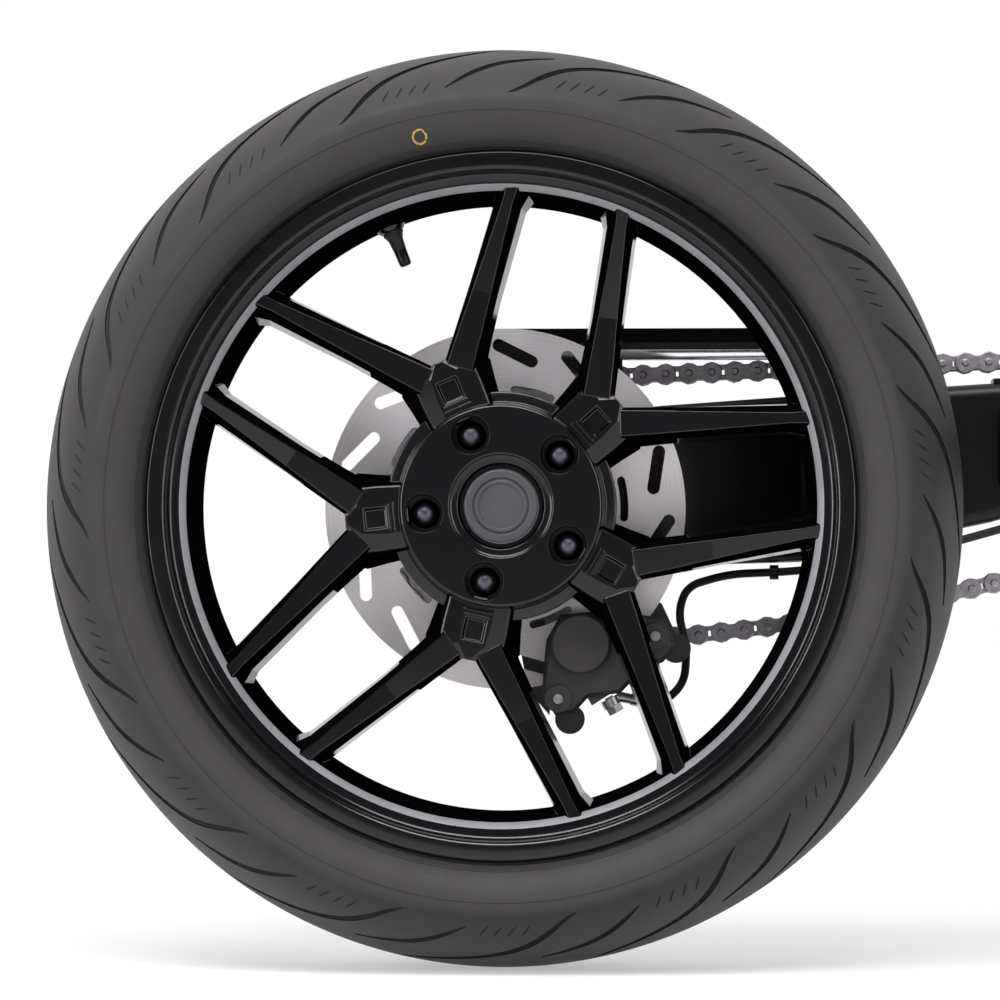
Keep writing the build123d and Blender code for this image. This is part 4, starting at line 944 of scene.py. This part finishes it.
# Chain
def chain_pins():
    """Pin places in the side frame, round both sprockets as the chain lies at rest."""
    rear_radius = PITCH / 2 / sin(pi / REAR_TEETH)
    front_radius = PITCH / 2 / sin(pi / FRONT_TEETH)
    top = radians(90 + CHAIN_RISE)
    rise = radians(CHAIN_RISE)
    run = UPPER_PITCHES * PITCH
    lift = rear_radius - front_radius
    front = (run * cos(rise) - lift * sin(rise), run * sin(rise) + lift * cos(rise))
    rear_turn, front_turn = 2 * pi / REAR_TEETH, 2 * pi / FRONT_TEETH
    turns = [top + rear_turn * step for step in range(REAR_WRAP, -1, -1)]
    pins = [(rear_radius * cos(turn), rear_radius * sin(turn)) for turn in turns]
    first, upper = pins[0], pins[-1]
    pins += [
        (upper[0] + PITCH * step * cos(rise), upper[1] + PITCH * step * sin(rise))
        for step in range(1, UPPER_PITCHES)
    ]
    turns = [top - front_turn * step for step in range(FRONT_WRAP + 1)]
    pins += [(front[0] + front_radius * cos(turn), front[1] + front_radius * sin(turn)) for turn in turns]
    start = pins[-1]
    chord = hypot(first[0] - start[0], first[1] - start[1])
    count = ceil(chord / PITCH)
    # The slack run hangs in an arc: the turn per link is found by halving
    low, high = 0.0001, 0.1
    for _ in range(40):
        turn = (low + high) / 2
        if PITCH * sin(count * turn / 2) / sin(turn / 2) > chord:
            low = turn
        else:
            high = turn
    heading = atan2(first[1] - start[1], first[0] - start[0]) + (count - 1) / 2 * turn
    x, y = start
    for _ in range(count - 1):
        x += PITCH * cos(heading)
        y += PITCH * sin(heading)
        heading -= turn
        pins.append((x, y))
    return pins


def link_plate(name, end_radius, waist, low, high):
    """Plate of a link from pin (0, 0) to pin (PITCH, 0), with round ends and a waist."""
    right = arc((PITCH, 0.0), end_radius, -PLATE_END_TURN, PLATE_END_TURN, 7)
    left = [(PITCH - x, -y) for x, y in right]
    from_x, to_x = 3 / 8 * PITCH, 5 / 8 * PITCH
    outline = right + [(to_x, waist), (from_x, waist)] + left + [(from_x, -waist), (to_x, -waist)]
    piece = plate(name, outline, low, high)
    bevel_edges(piece, 0.45, 1, 60)
    return piece


def make_chain():
    """One of each link piece, then copies at every pin, joined into one mesh."""
    near, far = CHAIN_Z + OUTER_PLATE_REACH, CHAIN_Z - OUTER_PLATE_REACH
    outer = join("outer_link", [
        link_plate("outer_near", *OUTER_PLATE, near, near + PLATE_THICKNESS),
        link_plate("outer_far", *OUTER_PLATE, far - PLATE_THICKNESS, far),
    ])
    inner_near, inner_far = near - PLATE_GAP, far + PLATE_GAP
    inner = join("inner_link", [
        link_plate("inner_near", *INNER_PLATE, inner_near - PLATE_THICKNESS, inner_near),
        link_plate("inner_far", *INNER_PLATE, inner_far, inner_far + PLATE_THICKNESS),
    ])
    # The inner plates are pierced, so that the light shows through the chain
    window = plate("window", circle(WINDOW_IN_PLATE, 10, PITCH / 2), far - 1.0, near + 1.0)
    carve(inner, window)
    roller = plate("roller", circle(ROLLER_RADIUS, 12), CHAIN_Z - ROLLER_REACH, CHAIN_Z + ROLLER_REACH)
    pin = plate("pin", circle(PIN_RADIUS, 10), CHAIN_Z - PIN_REACH, CHAIN_Z + PIN_REACH)
    bevel_edges(pin, 0.6, 1, 60)
    to_origin = Matrix.Translation(-spot(0, 0, 0))
    pins = chain_pins()
    pieces = []
    for number, here in enumerate(pins):
        after = pins[(number + 1) % len(pins)]
        lean = atan2(after[1] - here[1], after[0] - here[0])
        move = Matrix.Translation(spot(*here, 0)) @ Matrix.Rotation(-lean, 4, ACROSS) @ to_origin
        pieces.append(twin(inner if number % 2 else outer, move))
        pieces.append(twin(roller, move))
        pieces.append(twin(pin, move))
    for model in (outer, inner, roller, pin):
        bpy.data.objects.remove(model)
    chain = join("roller_chain", pieces)
    smooth(chain, 40)
    return chain


def make_guard_lip():
    """Rolled lip along the foot of the guard's near wall."""
    start, end = GUARD_LIP_ENDS
    lip = start_line("guard_lip", [spot(start, y, z) for z, y in GUARD_LIP_SECTION], closed=True)
    bpy.ops.mesh.extrude_region_move(TRANSFORM_OT_translate={"value": ((end - start) * MM, 0, 0)})
    tidy_skin()
    smooth(lip, 50)
    return lip


dress(make_guard_lip(), finishes["lip"], "swingarm", "plastic")
dress(make_chain(), finishes["chain"], "swingarm", "chain_steel", "drive_chain")


# Stage, light and camera
def seen_ray(tree):
    """1 for rays from the eye and for those that gloss or glass sends on, else 0."""
    ray = node(tree, "ShaderNodeLightPath")
    seen = ray.outputs["Is Camera Ray"]
    for kind in ("Is Glossy Ray", "Is Transmission Ray"):
        seen = node(
            tree, "ShaderNodeMath", {0: seen, 1: ray.outputs[kind]}, operation="MAXIMUM"
        ).outputs["Value"]
    return seen


def make_stage():
    """Pale floor under the tyre, as white as the backdrop far off, with the object's shadow near it."""
    pick_nothing()
    place = (axle.x, FLOOR_MIDDLE, cad_box[0][2] - FLOOR_GAP)
    bpy.ops.mesh.primitive_plane_add(size=FLOOR_SIZE, location=place)
    bpy.ops.object.transform_apply()
    floor = bpy.context.object
    floor.name = "studio_floor"
    material, tree, shader = new_material("studio_floor_pale", Roughness=0.9)
    shader.inputs["Base Color"].default_value = linear("#f2f2f2")
    glow = node(tree, "ShaderNodeEmission", {"Color": linear("#ffffff"), "Strength": 1.0})
    reach = node(tree, "ShaderNodeVectorMath", {0: axle_places(tree)}, operation="LENGTH")
    fade = node(
        tree, "ShaderNodeMapRange",
        {"Value": reach.outputs["Value"], "From Min": FLOOR_FADE[0], "From Max": FLOOR_FADE[1],
         "To Min": FLOOR_GLOW, "To Max": 1.0},
        interpolation_type="SMOOTHSTEP",
    )
    seen = node(
        tree, "ShaderNodeMath", {0: seen_ray(tree), 1: fade.outputs["Result"]}, operation="MULTIPLY"
    )
    mix = node(
        tree, "ShaderNodeMixShader",
        {0: seen.outputs["Value"], 1: shader.outputs["BSDF"], 2: glow.outputs["Emission"]},
    )
    tree.links.new(mix.outputs["Shader"], tree.nodes["Material Output"].inputs["Surface"])
    floor.data.materials.append(material)


def make_world():
    """White backdrop behind the object, also in its gloss, and a dimmer room on the viewer's side."""
    world = bpy.data.worlds.new("studio")
    bpy.context.scene.world = world
    world.use_nodes = True
    tree = world.node_tree
    tree.nodes.clear()
    coordinates = node(tree, "ShaderNodeTexCoord")
    split = node(tree, "ShaderNodeSeparateXYZ", {"Vector": coordinates.outputs["Generated"]})
    depth = node(
        tree, "ShaderNodeMapRange",
        {"Value": split.outputs["Y"], "From Min": ROOM_FADE[0], "From Max": ROOM_FADE[1],
         "To Min": ROOM_LIGHT, "To Max": 1.0},
        interpolation_type="SMOOTHSTEP",
    )
    behind = node(
        tree, "ShaderNodeMath", {0: split.outputs["Y"], 1: BACKDROP_EDGE}, operation="GREATER_THAN"
    )
    strength = node(
        tree, "ShaderNodeMath", {0: seen_ray(tree), 1: behind.outputs["Value"]}, operation="MULTIPLY"
    )
    ray = node(tree, "ShaderNodeLightPath")
    for least in (ray.outputs["Is Camera Ray"], depth.outputs["Result"]):
        strength = node(
            tree, "ShaderNodeMath", {0: strength.outputs["Value"], 1: least}, operation="MAXIMUM"
        )
    room = node(
        tree, "ShaderNodeBackground",
        {"Color": linear("#ffffff"), "Strength": strength.outputs["Value"]},
    )
    out = node(tree, "ShaderNodeOutputWorld")
    tree.links.new(room.outputs["Background"], out.inputs["Surface"])


def aimed(place, target):
    """Turn of a lamp or a camera that looks from a place at a target."""
    return (Vector(target) - Vector(place)).to_track_quat("-Z", "Y").to_euler()


def softbox(name, place, size, power):
    """Rectangular lamp that faces the axle."""
    lamp = bpy.data.lights.new(name, "AREA")
    lamp.shape = "RECTANGLE"
    lamp.size, lamp.size_y = size
    lamp.energy = power
    box = bpy.data.objects.new(name, lamp)
    bpy.context.scene.collection.objects.link(box)
    box.location = place
    box.rotation_euler = aimed(place, axle)


def make_camera():
    """Camera at the photograph's angle."""
    lens = bpy.data.cameras.new("photo_view")
    lens.sensor_width = 36.0
    lens.lens = CAMERA_LENS
    camera = bpy.data.objects.new("photo_view", lens)
    bpy.context.scene.collection.objects.link(camera)
    camera.location = CAMERA_PLACE
    camera.rotation_euler = aimed(CAMERA_PLACE, CAMERA_AIM)
    bpy.context.scene.camera = camera


make_stage()
make_world()
for name, place, size, power in LAMPS:
    softbox(name, place, size, power)
make_camera()
bpy.context.scene.view_settings.view_transform = "Standard"
